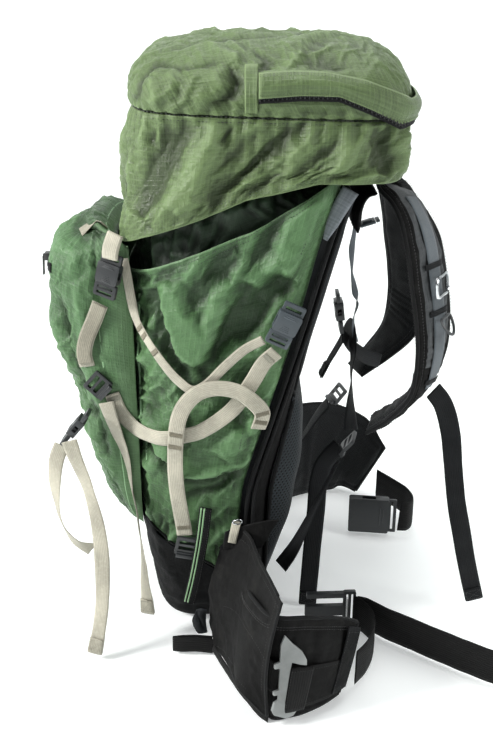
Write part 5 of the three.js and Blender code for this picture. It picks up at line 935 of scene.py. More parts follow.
def lb_thick(u, v):
    z = 80 + 258 * v; e = np.maximum(1 - np.abs(2 * u - 1) ** 7, 0) ** .5 * np.maximum(1 - np.abs(2 * v - 1) ** 14, 0) ** .5
    ch = np.exp(-((np.abs(2 * u - 1) - .5) / .04) ** 2)
    return np.maximum(tab(LUMBAR, z) * (.25 + .75 * e) * np.maximum(1 - np.abs(2 * u - 1) ** 30, 0) ** .5 + 2.0 * e - 5 * ch * e * smooth(v, .1, .3) * smooth(1 - v, .1, .3), .2)
o, LBF, _ = pad_surface("lumbar_pad_mesh", lb_back, lb_thick, flat_n, 130, 120, [MESHC]); add_piece(o, "pack", ["lumbar_pad"])
# binding tape round the lumbar pad and panel
for nm, fn, r in (("lumbar_binding", lb_back, 2.6), ("upper_pad_binding", up_back, 1.8), ("panel_binding", bp_back, 2.2)):
    t = np.linspace(0, 1, 30); P = np.concatenate([fn(t, 0 * t + .005), fn(0 * t + 1, t)[1:], fn(t[::-1], 0 * t + .995)[1:], fn(0 * t, t[::-1])[1:]]) + np.array([1.2, 0, 0])
    v_, f_, b_, _ = tube_data(P[::2], r, 5.0, 8); o = join_meshes(nm, [(v_, f_, b_)], [BIND]); add_piece(o, "pack")
for n_, m_ in (("frame_sheet", SHEETP), ("stay_near", ALU), ("stay_far", ALU)):
    ob_ = frame["nodes"][n_]; ob_.data.materials.clear(); ob_.data.materials.append(m_)

# ------------------------------------------------------------------ padded straps
SH_P = np.array([[255, -46, 588.5], [272, -70, 573], [289, -86, 536], [299, -94, 486], [306, -99, 440], [307, -102, 396], [296, -104, 354], [268, -101, 320], [236, -92, 294]], float)
SH_W = np.array([[.2, .98, 0], [.45, .89, 0], [.62, .78, 0], [.66, .75, 0], [.66, .75, 0], [.64, .77, 0], [.56, .82, .1], [.48, .87, .1], [.35, .93, .1]])
SH_WD = [64, 72, 76, 76, 74, 71, 66, 58, 50]; SH_T = [13, 14, 15, 15, 15, 15, 15, 14, 12]
MIR = np.array([1, -1, 1.0])
def padded_strap(name, pts, wide, widths, thicks, mats, ns=170, nk=56, folds=None, seed=1, idx=None, power=2.8, edge=2.2):
    c, tan = catmull(pts, ns); f = np.linspace(0, len(pts) - 1, ns + 1); W = lerp_rows(wide, f); W = unit(W - tan * (W * tan).sum(1, keepdims=True)); N = np.cross(tan, W)
    hw = np.interp(f, np.arange(len(widths)), widths) / 2; ht = np.interp(f, np.arange(len(thicks)), thicks) / 2
    endr = np.minimum(1, np.sqrt(np.clip(np.minimum(np.arange(ns + 1), ns - np.arange(ns + 1)) / 4.0, 0.04, 1))); ht = ht * endr
    th = (np.arange(nk) + .5) * 2 * np.pi / nk; a = np.sign(np.cos(th)) * np.abs(np.cos(th)) ** (2 / 3.6); b = np.sign(np.sin(th)) * np.abs(np.sin(th)) ** (2 / power)
    # thinner towards the bound edges
    b = b * (1 - .45 * np.abs(a) ** 5)
    P = c[:, None] + W[:, None] * (a[None, :, None] * hw[:, None, None]) + N[:, None] * (b[None, :, None] * ht[:, None, None])
    d = 1.5 * ridged(P, (22, 22, 30), seed, 2) + (folds(f, a, b) if folds else 0)
    s = np.r_[0, np.cumsum(np.linalg.norm(np.diff(c, axis=0), axis=1))]
    d = d * (1 - np.abs(a[None]) ** 8) ; d = d - 1.5 * np.exp(-((np.abs(a[None]) - .8) / .05) ** 2)
    nrm = unit(W[:, None] * a[None, :, None] * .3 + N[:, None] * np.sign(b)[None, :, None])
    P = P + nrm * d[..., None]
    fab = np.zeros(P.shape); fab[..., 0] = a[None] * hw[:, None]; fab[..., 1] = s[:, None]
    F = grid_faces(ns + 1, nk, True).tolist(); n0 = len(F); F.append(list(range(nk))[::-1]); F.append([ns * nk + i for i in range(nk)])
    A, B_ = np.meshgrid(a, np.arange(ns) / ns); BB = np.broadcast_to(b[None], A.shape)
    mi = (idx(A, BB, B_).astype(int).ravel().tolist() if idx else [0] * n0) + [0, 0]
    o = join_meshes(name, [(P.reshape(-1, 3), F, fab.reshape(-1, 3))], mats)
    o.data.polygons.foreach_set("material_index", np.array(mi, np.int32))
    return o, c, W, N, hw, ht, s
def strap_folds(f, a, b):
    out = 0
    for k in (4.75, 4.95, 5.15, 5.4, 5.6):
        out = out - 1.4 * np.exp(-((f[:, None] - k - .12 * a[None]) / .05) ** 2) * (b[None] > 0)
    for k in (.6, 1.1, 1.7, 6.3, 6.8, 7.2):
        out = out - 1.2 * np.exp(-((f[:, None] - k + .1 * a[None]) / .07) ** 2) * (b[None] < 0)
    return out
def strap_idx(A, B, S_):
    k = np.zeros(A.shape); k[(B < 0)] = 1; k[(B > 0) & (np.abs(A) < .62) & (S_ < .66)] = 2; return k
for side, mr in (("near", np.array([1, 1, 1.0])), ("far", MIR)):
    o, c, W, N, hw, ht, s = padded_strap("shoulder_pad_" + side, SH_P * mr, SH_W * mr, SH_WD, SH_T, [BLACKC, MESH, GREYC, SMOOTHB], folds=strap_folds, seed=81, idx=(strap_idx if side == "near" else (lambda A, B, S_: np.where(B > 0, 1, np.where((np.abs(A) < .62) & (S_ < .66), 2, 0)))))
    sg = 1 if side == "near" else -1
    add_piece(o, "pack", ["shoulder_strap_" + side])
    # bound edges and their stitches
    parts = []
    for e in (-1, 1):
        q = c + W * (e * (hw - .4))[:, None]; v_, f_, b_, _ = tube_data(q[::5], 2.5, 4.0, 10); parts.append((v_, f_, b_, 0))
    o = join_meshes("shoulder_binding_" + side, parts, [BIND]); add_piece(o, "pack")
    parts = []
    for e in (-1, 1):
        for fs in (1, -1):
            q = c + W * (e * (hw - 5.0))[:, None] + N * (fs * (ht * .86))[:, None]; v_, f_ = stitch_data(q, None, N * fs, 3.8, 2.4, .33, .35); parts.append((v_, f_))
    o = join_meshes("shoulder_thread_" + side, parts, [THREADK]); add_piece(o, "pack")
    # runner webbing with keepers
    off = SH_T_arr = np.interp(np.linspace(0, 8, len(c)), np.arange(9), SH_T) / 2; R = c + N * (off + 1.9)[:, None] * sg
    R = R[18:128]; Wr = W[18:128]
    v_, f_, b_, rc, rW, rN, rs, rL = ribbon_data(R[::6], Wr[::6], 25, 1.6, 2.5)
    lp = [(v_, f_, b_, 0)]
    for q in (.36, .6, .96):
        i = int(q * (len(rc) - 1)); p = np.array([rc[i] - rW[i] * 19 - rN[i] * sg * .6, rc[i] + rN[i] * sg * 1.6 - rW[i] * 12, rc[i] + rN[i] * sg * 1.6, rc[i] + rN[i] * sg * 1.6 + rW[i] * 12, rc[i] + rW[i] * 19 - rN[i] * sg * .6]); T_ = np.gradient(rc, axis=0)[i]
        v2, f2, b2, *_ = ribbon_data(p, unit(T_), 7, 1.2, 2.0); lp.append((v2, f2, b2, 1))
    o = join_meshes("runner_webbing_" + side, lp, [WGREY, WBLACK]); add_piece(o, "pack", ["strap_runner_" + side])

# yoke between the shoulder straps
YK = np.array([[215, 0, 536], [215, 0, 562], [223, 0, 582], [235, 0, 587]], float)
o, *_ = padded_strap("yoke_pad", YK, np.tile([[0, 1.0, 0]], (4, 1)), [120, 132, 140, 140], [9, 11, 11, 10], [BLACKC, MESH], ns=50, nk=60, seed=84); add_piece(o, "pack", ["yoke"])

# ------------------------------------------------------------------ hip wings
NEAR_OUT = 1
WN = np.array([[98, -136, 22, 118], [86, -175, 10, 123], [82, -220, 2, 132], [91, -266, .4, 145], [110, -297, 0, 149], [143, -290, 0, 140], [176, -270, 0, 122], [203, -245, 0, 98]], float)
WF = np.array([[103, 136, 30, 128], [112, 176, 12, 142], [136, 220, 3, 158], [172, 249, 0, 169], [213, 262, 0, 164], [253, 258, 0, 146], [285, 239, 0, 108]], float)
def wing(name, A, body, node, seed, outer_sign):
    pts = np.c_[A[:, 0], A[:, 1], (A[:, 2] + A[:, 3]) / 2]; wide = np.tile([[0, 0, 1.0]], (len(A), 1)); wd = A[:, 3] - A[:, 2]; t = [13] + [17] * (len(A) - 2) + [13]
    def folds(f, a, b):
        out = 0
        out = out - 3.4 * smooth(f[:, None], 2.9, 3.5) * (1 - smooth(f[:, None], 5.0, 5.6)) * (b[None] * outer_sign > 0)
        for k, w, h, tilt in ((1.2, .12, -2.2, .25), (2.2, .1, -1.6, -.2), (3.2, .14, 1.8, .1), (4.3, .1, -2.2, .3), (5.3, .12, -1.5, -.2)):
            out = out + h * np.exp(-((f[:, None] - k - tilt * a[None]) / w) ** 2)
        return out
    o, c, W, N, hw, ht, s = padded_strap(name, pts, wide, wd, t, [BLACKC, SMOOTHB, MESH], ns=150, nk=84, folds=folds, seed=seed, idx=lambda A_, B_, S_: np.where(B_ * outer_sign > 0, 0, 2), power=3.4)
    me = o.data; co = np.zeros(len(me.vertices) * 3, np.float32); me.vertices.foreach_get("co", co); co = co.reshape(-1, 3); co[:, 2] = np.maximum(co[:, 2], 0.0004); me.vertices.foreach_set("co", co.ravel()); me.update()
    add_piece(o, body, [node])
    parts = []
    for e in (-1, 1):
        q = c + W * (e * (hw - 1.0))[:, None]; q[:, 2] = np.maximum(q[:, 2], 3.0); v_, f_, b_, _ = tube_data(q[::5], 2.7, 4.0, 10); parts.append((v_, f_, b_))
    for k in (0, -1):
        q = np.array([c[k] - W[k] * (hw[k] - 3), c[k], c[k] + W[k] * (hw[k] - 1)]); q[:, 2] = np.maximum(q[:, 2], 3.0); v_, f_, b_, _ = tube_data(q, 3.6, 4.0, 10); parts.append((v_, f_, b_))
    o = join_meshes(name + "_binding", parts, [BIND]); add_piece(o, body)
    parts = []
    for e, off in ((1, 8), (-1, 8), (1, 11.5)):
        q = c + W * (e * (hw - off))[:, None] + N * (outer_sign * (ht * .95))[:, None]; v_, f_ = stitch_data(q, None, N * outer_sign, 3.8, 2.4, .33, .45); parts.append((v_, f_))
    o = join_meshes(name + "_thread", parts, [THREADK]); add_piece(o, body)
    return c, W, N, hw, ht, s
WNG = wing("hip_wing_pad_near", WN, "wing_near", "hip_wing_near", 91, NEAR_OUT)
WFG = wing("hip_wing_pad_far", WF, "wing_far", "hip_wing_far", 95, -1)
def bartack(P, W, N, i, width, lift=1.2, w=7.0, zig=9):
    """a dense zigzag of thread across the strap at point i"""
    T = unit(np.gradient(P, axis=0)[i]); V, F = [], []
    q = np.array([P[i] + W[i] * (width / 2 * .84 * (2 * k / (zig * 4) - 1)) + T * (w / 2 * (1 if k % 2 else -1)) + N[i] * lift for k in range(zig * 4 + 1)])
    v, f, b, _ = tube_data(q, .24, 1.6, 5); return v, f, b
def box_stitch(P, W, N, i0, i1, width, lift):
    """stitched box with a cross in it, between stations i0 and i1"""
    h = width / 2 * .78; a, b = P[i0] - W[i0] * h, P[i0] + W[i0] * h; c, d = P[i1] + W[i1] * h, P[i1] - W[i1] * h; n = N[(i0 + i1) // 2]; out = []
    for p, q in ((a, b), (b, c), (c, d), (d, a), (a, c), (b, d)):
        line = p[None] + (q - p)[None] * np.linspace(0, 1, 12)[:, None] + n * lift; v, f = stitch_data(line, None, np.tile(n, (12, 1)), 2.9, 2.0, .34, .3)
        if len(v): out.append((v, f))
    return out
def strap_piece(name, key, width, t, mats, body="pack", repl=(), step=2.4, wave=0.0, flip=1, widths=None, cord=None, extra=None, seed=1, mirror=False):
    pts, wide = np.array(ROUTE[key][0]), np.array(ROUTE[key][1])
    if mirror: pts, wide = pts * MIR, wide * MIR
    v, f, b, c, W, N, s, L = ribbon_data(pts, wide, width, t, step, widths=widths, wave=wave, seed=seed)
    parts = [(v, f, b, 0)] + (extra(c, W, N, s, L) if extra else [])
    o = join_meshes(name, parts, mats); add_piece(o, body, repl)
    if cord:
        mm(c[0]).tolist()
        mm(c).tolist()
    return o, c, W, N, s, L
def fold_end(n_fold=9, stitch_mat=1, layers=1, side=1, width=20, t=1.6, reach=22):
    def fn(c, W, N, s, L):
        """the strap's end is turned back on itself and sewn down"""
        k = max(3, int(reach / (s[1] - s[0]))); base = c[-k:] + N[-k:] * side * (t + .5)
        tip = c[-1] + unit(c[-1] - c[-2]) * 1.6 + N[-1] * side * t * .6
        P = np.r_[base, [tip]]; Wd = np.r_[W[-k:], W[-1:]]
        v, f, b, c2, W2, N2, s2, L2 = ribbon_data(P, Wd, width * .985, t, 2.4)
        out = [(v, f, b, 0)]
        out += [(a[0], a[1], None, stitch_mat) for a in box_stitch(c2, W2, N2 * side, 1, max(3, len(c2) - 3), width, t / 2 + .5)]
        return out
    return fn
EN = lambda p: mm(np.asarray(p, float)).tolist()
# front straps with their folded, stitched ends
side_tail, *_ = strap_piece("side_tail_webbing", "side_tail", 20, 1.6, [TAN, THREADW], repl=["side_tail"], wave=.9, cord=("bare", "hanging"), extra=fold_end(width=20), seed=3)
front_tail, *_ = strap_piece("front_tail_webbing", "long_tail", 20, 1.6, [TAN, THREADW], repl=["front_tail"], wave=.9, cord=("bare", "hanging"), extra=fold_end(width=20), seed=4)
front_loop, *_ = strap_piece("front_loop_webbing", "front_loop", 20, 1.6, [TAN, THREADW], repl=["front_loop"], wave=.6, cord=("object", "loose"), seed=5)
def comp_extra(c, W, N, s, L):
    out = []
    for q in (.03, .965): out.append(bartack(c, W, N, int(q * (len(c) - 1)), 20) + (1,)); out.append(bartack(c, W, N, int(q * (len(c) - 1)), 20, -1.2) + (1,))
    return out
comp, *_ = strap_piece("compression_webbing", "compression_strap", 20, 1.6, [TAN, THREADW], repl=["compression_strap"], wave=.5, cord=("object", "loose"), extra=comp_extra, seed=6)
def cross_extra(c, W, N, s, L):
    return [bartack(c, W, N, int(q * (len(c) - 1)), 12) + (1,) for q in (.30, .34, .42)] + [bartack(c, W, N, int(q * (len(c) - 1)), 12, -1.2) + (1,) for q in (.30, .34, .42)]
cross, *_ = strap_piece("cross_webbing", "cross_strap", 12, 1.6, [TAN, THREADB], repl=["cross_strap"], wave=.4, extra=cross_extra, seed=7)
def down_extra(c, W, N, s, L):
    out = []
    for q in (.035, .07, .55, .60, .97): out += [bartack(c, W, N, int(q * (len(c) - 1)), 20) + (1,), bartack(c, W, N, int(q * (len(c) - 1)), 20, -1.2) + (1,)]
    return out
down, DC, DW, DN, DS, DL = strap_piece("down_webbing", "down_strap", 20, 1.6, [TAN, THREADB], repl=["down_strap"], wave=.5, extra=down_extra, seed=8)
for side, mr in (("near", False), ("far", True)):
    def lid_extra(c, W, N, s, L):
        # the doubled layer uses the darker tan copy: painted shade
        v, f, b, *_ = ribbon_data(c[::5] + N[::5] * 2.3 * (1 if not mr else -1), W[::5], 18.6, 1.5, 2.4); return [(v, f, b, 1)]
    o, c, *_ = strap_piece("lid_webbing_" + side, "lid_strap", 20, 1.6, [TAN, TAN_SHADED], body=None, repl=["lid_strap_" + side], wave=.4, mirror=mr, extra=lid_extra, seed=9)
    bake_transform(o, "pack", "lid_male_" + side, mm(c[int(len(c) * .55)]).tolist(), mm(c[2]).tolist())
# harness and belt webbing
def plain(name, key, width, t, mat, body="pack", repl=(), cord=None, wave=.9, seed=1, extra=None):
    return strap_piece(name, key, width, t, [mat, THREADK], body, repl, wave=wave, cord=cord, extra=extra, seed=seed)
plain("shoulder_tail_webbing", "shoulder_tail", 25, 1.6, WBLACK, repl=["shoulder_tail"], cord=("bare", "hanging"), extra=fold_end(width=25), seed=11)
plain("hanging_webbing", "hanging_strap", 25, 1.6, WBLACK, repl=["hanging_strap"], cord=("bare", "hanging"), extra=fold_end(width=25), seed=12)
plain("draped_webbing", "draped_web", 25, 1.6, WBLACK, repl=["draped_web"], cord=("bare", "loose"), extra=fold_end(width=25, side=-1), seed=13)
plain("belt_tail_webbing", "belt_tail", 50, 1.8, WBELT, "wing_near", ["belt_tail"], cord=("bare", "loose"), extra=fold_end(width=50, t=1.8, reach=30), wave=1.2, seed=14)
o, c, *_ = plain("sternum_webbing", "sternum_strap", 20, 1.6, WBLACK, None, repl=["sternum_strap"], seed=15)
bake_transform(o, "pack", "sternum_male", mm(c[int(len(c) * .45)]).tolist(), mm(c[1]).tolist())
def loose_web(name, pts, wide, width, t, mats, body, repl=(), seed=1, extra=None, wave=.4, step=2.4):
    v, f, b, c, W, N, s, L = ribbon_data(pts, wide, width, t, step, wave=wave, seed=seed)
    o = join_meshes(name, [(v, f, b, 0)] + (extra(c, W, N, s, L) if extra else []), mats); add_piece(o, body, repl); return o, c, W, N, s, L
loose_web("belt_webbing_near", [[214, -246, 34], [230, -222, 33], [243, -188, 33], [244, -160, 33], [231, -137, 34], [222.5, -128, 34]], [0, 0, 1], 50, 1.8, [WBELT], "wing_near", ["belt_web_near"], 21)
loose_web("belt_webbing_far", [[318, 113, 37], [331, 115, 36], [342, 132, 35], [338, 164, 34], [318, 200, 33], [297, 231, 33]], [0, 0, 1], 50, 1.8, [WBELT], "wing_far", ["belt_web_far"], 22)
for side, s in (("near", 1), ("far", -1)):
    loose_web("shoulder_anchor_webbing_" + side, [[199, -93 * s, 243], [188, -100 * s, 224], [166, -112 * s, 180], [141, -124 * s, 130], [124, -130 * s, 106]], np.array([[.2, s, 0], [.2, s, .1], [.1, s, .25], [-.2, s, .4], [-.3, s, .5]]), 25, 1.6, [WBLACK, THREADK], "pack", ["shoulder_anchor_web_" + side], 23)
# haul loop: doubled webbing rolled to a grip
hp = np.array([[209, -34, 600], [212, -30, 611], [216, -16, 622], [218, 0, 625], [216, 16, 622], [212, 30, 611], [209, 34, 600]], float)
v1, f1, b1, hc, hW, hN, hs, hL = ribbon_data(hp, [1, 0, 0], 18, 2.4, 2.0); v2, f2, b2, *_ = ribbon_data(hp + np.array([0, 0, 1.9]) * 0 + np.array([0, 0, .0]), [1, 0, 0], 15, 3.4, 2.0)
ex = [bartack(hc, hW, hN, i, 18, 1.7) + (1,) for i in (3, 8, len(hc) - 9, len(hc) - 4)]
o = join_meshes("haul_loop_webbing", [(v1, f1, b1, 0), (v2, f2, b2, 0)] + ex, [WBLACK, THREADK]); add_piece(o, "haul", ["haul_loop"])
# ------------------------------------------------------------------ hardware: the CAD shape with rounded edges, and moulded detail on it
import bmesh
def hard(node, mat, bevel=0.6, segs=3, angle=28):
    src = frame["nodes"][node]; me = src.data.copy(); me.name = node + "_moulded"
    o = bpy.data.objects.new(node + "_moulded", me); scene.collection.objects.link(o)
    bm = bmesh.new(); bm.from_mesh(me); bmesh.ops.remove_doubles(bm, verts=bm.verts, dist=1e-6); bmesh.ops.dissolve_limit(bm, angle_limit=math.radians(1.5), verts=bm.verts, edges=bm.edges); bm.to_mesh(me); bm.free()
    if bevel:
        m = o.modifiers.new("edge", "BEVEL"); m.width = bevel / 1000; m.segments = segs; m.limit_method = "ANGLE"; m.angle_limit = math.radians(angle); m.harden_normals = False; m.use_clamp_overlap = True; apply_mods(o)
    me = o.data; me.materials.clear(); me.materials.append(mat); me.polygons.foreach_set("use_smooth", np.full(len(me.polygons), True))
    bm = bmesh.new(); bm.from_mesh(me)
    for e in bm.edges: e.smooth = not (len(e.link_faces) == 2 and e.calc_face_angle(0) > math.radians(38))
    bmesh.ops.triangulate(bm, faces=[f for f in bm.faces if len(f.verts) > 4]); bm.to_mesh(me); bm.free()
    if "fab" not in me.attributes:
        co = np.zeros(len(me.vertices) * 3, np.float32); me.vertices.foreach_get("co", co); a = me.attributes.new("fab", "FLOAT_VECTOR", "POINT"); a.data.foreach_set("vector", co * 1000)
    body = body_of(src)[0]; add_piece(o, body, [node]); return o, body
def hw_axes(at, across, along):
    z = unit(np.array(along, float)); x = np.array(across, float); x = unit(x - z * (x @ z)); y = np.cross(z, x); return np.array(at, float), x, y, z
def rbox(cx, cy, cz, sx, sy, sz, ax, r=.5):
    """a small box with eased edges in a piece's own axes"""
    at, x, y, z = ax; V = []
    for kz, e in ((-1, 1), (1, 1)):
        pass
    xs_, ys_, zs_ = sx / 2, sy / 2, sz / 2; r = min(r, xs_ * .8, ys_ * .8, zs_ * .8)
    bm = bmesh.new(); bmesh.ops.create_cube(bm, size=1.0)
    for v in bm.verts: v.co = Vector((v.co.x * sx, v.co.y * sy, v.co.z * sz))
    bmesh.ops.bevel(bm, geom=list(bm.edges), offset=r, segments=2, profile=.5, affect="EDGES")
    bm.verts.ensure_lookup_table(); co = np.array([v.co[:] for v in bm.verts]); F = [[v.index for v in f.verts] for f in bm.faces]; bm.free()
    co = co + [cx, cy, cz]; return at + co[:, :1] * x + co[:, 1:2] * y + co[:, 2:] * z, F, None
S_ = {"near": 1, "far": -1}
HW = {}
for side, s in S_.items():
    HW["lid_buckle_female_" + side] = ("f", 20, [-88.3, -116 * s, 482.3], [.92, -.38 * s, -.23], [.246, 0, .969], PBLACK)
    HW["lid_buckle_male_" + side] = ("m", 20, [-88.3, -116 * s, 482.3], [.92, -.38 * s, -.23], [.246, 0, .969], PBLACK)
    HW["shoulder_adjuster_" + side] = ("l", 25, [211, -80 * s, 262], [.2, .98 * s, 0], [.62, -.15 * s, .77], PBLACK)
HW["compression_buckle_female"] = ("f", 20, [116.8, -158, 436.5], [.9, .02, -.43], [.43, -.02, .9], PGREY); HW["compression_buckle_male"] = ("m", 20, [116.8, -158, 436.5], [.9, .02, -.43], [.43, -.02, .9], PGREY)
HW["side_adjuster"] = ("l", 20, [-105.6, -107, 356], [.65, -.1, .76], [-.74, .12, .66], PBLACK)
HW["lower_adjuster"] = ("l", 20, [1.6, -141, 143.5], [.98, .02, -.2], [.2, -.1, .98], PBLACK)
HW["sternum_buckle_female"] = ("f", 20, [202.8, -10, 401], [0, 1, 0], [-.13, 0, .99], PBLACK); HW["sternum_buckle_male"] = ("m", 20, [202.8, -10, 401], [0, 1, 0], [-.13, 0, .99], PBLACK)
HW["belt_buckle_male"] = ("m", 50, [217, -124, 34], [0, 0, 1], [-1, -.05, 0], PBLACK); HW["belt_buckle_female"] = ("f", 50, [231, 124, 38], [0, 0, 1], [1, -.12, 0], PBLACK)
HW["front_buckle"] = ("f", 20, [-147, -121, 290], [.1, .99, 0], [.66, .05, .75], PBLACK)
for node, (kind, w, at, ac, al, mat) in HW.items():
    o, body = hard(node, mat, .7 if w < 40 else 1.1); ax = hw_axes(at, ac, al); W_, L_, T_ = w + 9, w * 1.25, 9.5 + w * .08; parts = []
    if kind == "f":
        for sy in (-1, 1):
            parts.append(rbox(0, sy * (T_ / 2 + .25), L_ * .78 + 9, W_ * .52, .8, 1.6, ax)); parts.append(rbox(0, sy * (T_ / 2 + .25), L_ * .86 + 9, W_ * .38, .8, 1.4, ax))
            for k in range(4): parts.append(rbox(0, sy * (T_ / 2 + .15), 11.5 + k * 2.0, W_ * (.44 - .06 * k), .6, .8, ax, .2))
    elif kind == "m":
        for sy in (-1, 1):
            for k in range(3): parts.append(rbox(0, sy * 2.75, 4.6 - k * 1.2, W_ * .6, .5, .6, ax, .15))
    else:
        for k in range(4): parts.append(rbox(0, -6.0 + .1 * k, -11.5 - k * 1.1, W_ - 9, .5, .5, ax, .15))
    if parts:
        d = join_meshes(node + "_ribs", parts, [mat]); add_piece(d, body)
for node in ("anchor_plate_near", "anchor_plate_far"): hard(node, PPLATE, .9)
for node in ("runner_ring_near", "runner_ring_far"): hard(node, CHROME, 0)
for node in ("d_ring_near", "d_ring_far"): hard(node, PBLACK, 0)
for node in ("lid_zip_slider", "pocket_zip_slider"): hard(node, PDARK, .5)
# ------------------------------------------------------------------ fabric and webbing sewn to the pack and the wings
def bez_patch(R, nu=40, nv=36):
    R = np.asarray(R, float); A = np.array([catmull(r, nu)[0] for r in R]); out = np.zeros((nv + 1, nu + 1, 3))
    for i in range(nu + 1): out[:, i] = catmull(A[:, i], nv)[0]
    return out
FIN = [[[44.8, -144, 142.7], [70.7, -144.0, 168.1], [102.2, -241.0, 175.2], [121.2, -310.0, 175.9]], [[32.5, -150, 82.4], [60.6, -182.0, 112.1], [92.7, -262.0, 127.5], [110.3, -314.0, 128.3]], [[32.2, -158, 37.7], [55.7, -207.0, 73.9], [85.5, -286.0, 89.6], [103.9, -314.0, 77.5]], [[36.4, -178, 13.0], [55.8, -230.0, 27.3], [76.7, -298.0, 40.8], [104.6, -308.0, 13.7]]]
FP_ = bez_patch(FIN, 64, 56); FN_ = grid_normals(FP_); FN_ = FN_ * (-np.sign(FN_[28, 32, 1]) or 1)
fd = 3.5 * crumple(FP_, 40, 121, (0.8, 0), 1.3) + 1.2 * crumple(FP_, 16, 123, (-0.4, 0)); lowest_ = -4 + 4.5 * smooth(np.linspace(0, 1, FP_.shape[1]), .35, .6)[None]; FP_ = FP_ + FN_ * (np.clip(fd, lowest_, 3.5) + 2.5 * smooth(np.linspace(0, 1, FP_.shape[1]), .4, .6)[None])[..., None]; FP_[..., 2] = np.maximum(FP_[..., 2], 1.2)
o = surface("wing_root_panel", FP_, [BLACKC]); thicken(o, 2.4, 0)
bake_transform(o, "pack", "wing_near", mm([50, -150, 80]).tolist(), mm([80, -215, 80]).tolist())
parts = []
for line in (FP_[0], FP_[:, -1], FP_[-1]):
    v_, f_, b_, _ = tube_data(line[::5], 2.0, 4, 8); parts.append((v_, f_, b_, 0))
for line, off in ((FP_[3], 1), (FP_[:, 60], 1), (FP_[-4], 1), (FP_[30, 16:], 1)):
    v_, f_ = stitch_data(line, None, np.tile(unit(FN_.mean((0, 1))), (len(line), 1)), 3.8, 2.4, .34, 1.6); parts.append((v_, f_, None, 1))
o = join_meshes("wing_root_binding", parts, [BIND, THREADK]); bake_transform(o, "pack", "wing_near", mm([50, -150, 80]).tolist(), mm([80, -215, 80]).tolist())
def blend_wing(o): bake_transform(o, "pack", "wing_near", mm([50, -150, 80]).tolist(), mm([80, -215, 80]).tolist())
# narrow strap along the lower edge of the wing's root, and the webbing loop on it
bp = [[36.2, -184.0, 16.5], [52.3, -214.0, 9.5], [73.9, -258.0, 7.2], [95.8, -295.0, 6.5], [104.9, -304.0, 5.6]]
v_, f_, b_, bc, bW, bN, *_ = ribbon_data(bp, [.35, -.25, 1], 11, 1.6, 2.4, wave=.5, seed=131); o = join_meshes("wing_edge_webbing", [(v_, f_, b_)], [WBELT]); blend_wing(o)
lp = [[36, -178, 14], [14, -178, 17], [-8, -177, 16], [-17.5, -174, 15.5], [-9, -171, 15], [12, -170, 15], [34, -171, 14]]
v_, f_, b_, *_ = ribbon_data(lp, [0, 0.05, 1], 22, 1.7, 2.2, wave=.4, seed=132); o = join_meshes("corner_loop_webbing", [(v_, f_, b_)], [WBELT]); add_piece(o, "pack")
# crushed light lining that shows above the loop
g = bez_patch([[[14, -162, 60], [20, -162, 62], [27, -162, 60]], [[8, -166, 46], [16, -168, 45], [26, -166, 45]], [[12, -168, 30], [18, -171, 29], [28, -170, 30]]], 24, 24)
gn = grid_normals(g); g = g + gn * (2.4 * crumple(g, 9, 135, (0.3, 0), 1.1))[..., None]; o = surface("corner_lining", g, [SMOOTHB]); thicken(o, 1.2, 0); add_piece(o, "pack")
# black side band with two green pipings
bd = np.array([[27.5, -147.5, 204], [22, -149.5, 160], [13, -150.5, 108], [2.6, -146.0, 60]]); bdw = np.array([[.97, -.1, .1], [.97, -.1, .12], [.97, -.12, .15], [.97, -.12, .2]])
v_, f_, b_, dc, dW, dN, ds, dL = ribbon_data(bd, bdw, 16, 3.2, 2.4); parts = [(v_, f_, b_, 0)]; sg = np.sign(-dN[:, 1].mean())
for off in (-5.2, -1.2):
    q = dc + dW * off + dN * sg * 2.4; v_, f_, b_, _ = tube_data(q[::4], 1.05, 3.0, 8); parts.append((v_, f_, b_, 1))
for off in (-7.0, 1.4, 6.6):
    q = dc + dW * off + dN * sg * 1.9; v_, f_ = stitch_data(q, None, dN * sg, 3.6, 2.3, .3, .3); parts.append((v_, f_, None, 2))
o = join_meshes("side_band", parts, [BASEC, PIPE, THREADK]); add_piece(o, "pack")
# tan tab with a small ring, and the black flap it holds
tb = [[66.9, -149.5, 186], [63.5, -151.5, 172], [60.4, -151.5, 155]]
v_, f_, b_, tc_, tW, tN, *_ = ribbon_data(tb, [.95, -.05, .25], 11, 1.6, 2.0); parts = [(v_, f_, b_, 0)]; v_, f_, b_, _ = tube_data([[61.5, -151, 187], [66, -152.6, 189.5], [72, -151, 188.5], [73, -150, 184], [66, -152.8, 183.5], [61.5, -151, 184.5], [61.3, -151, 187]], 1.0, 2.0, 8); parts.append((v_, f_, b_, 1))
o = join_meshes("corner_tab", parts, [TAN, CHROME]); add_piece(o, "pack")
tr = bez_patch([[[52, -148.6, 170], [84, -149, 182], [120, -140, 183]], [[50, -149, 158], [84, -151, 166], [112, -145, 170]], [[49, -149.5, 146], [76, -152, 146], [98, -151, 148]]], 40, 22)
tn = grid_normals(tr); tr = tr + tn * (1.6 * crumple(tr, 20, 141, (0.2, 0)))[..., None]; o = surface("corner_flap", tr, [BLACKC]); thicken(o, 1.6, 0); add_piece(o, "pack")

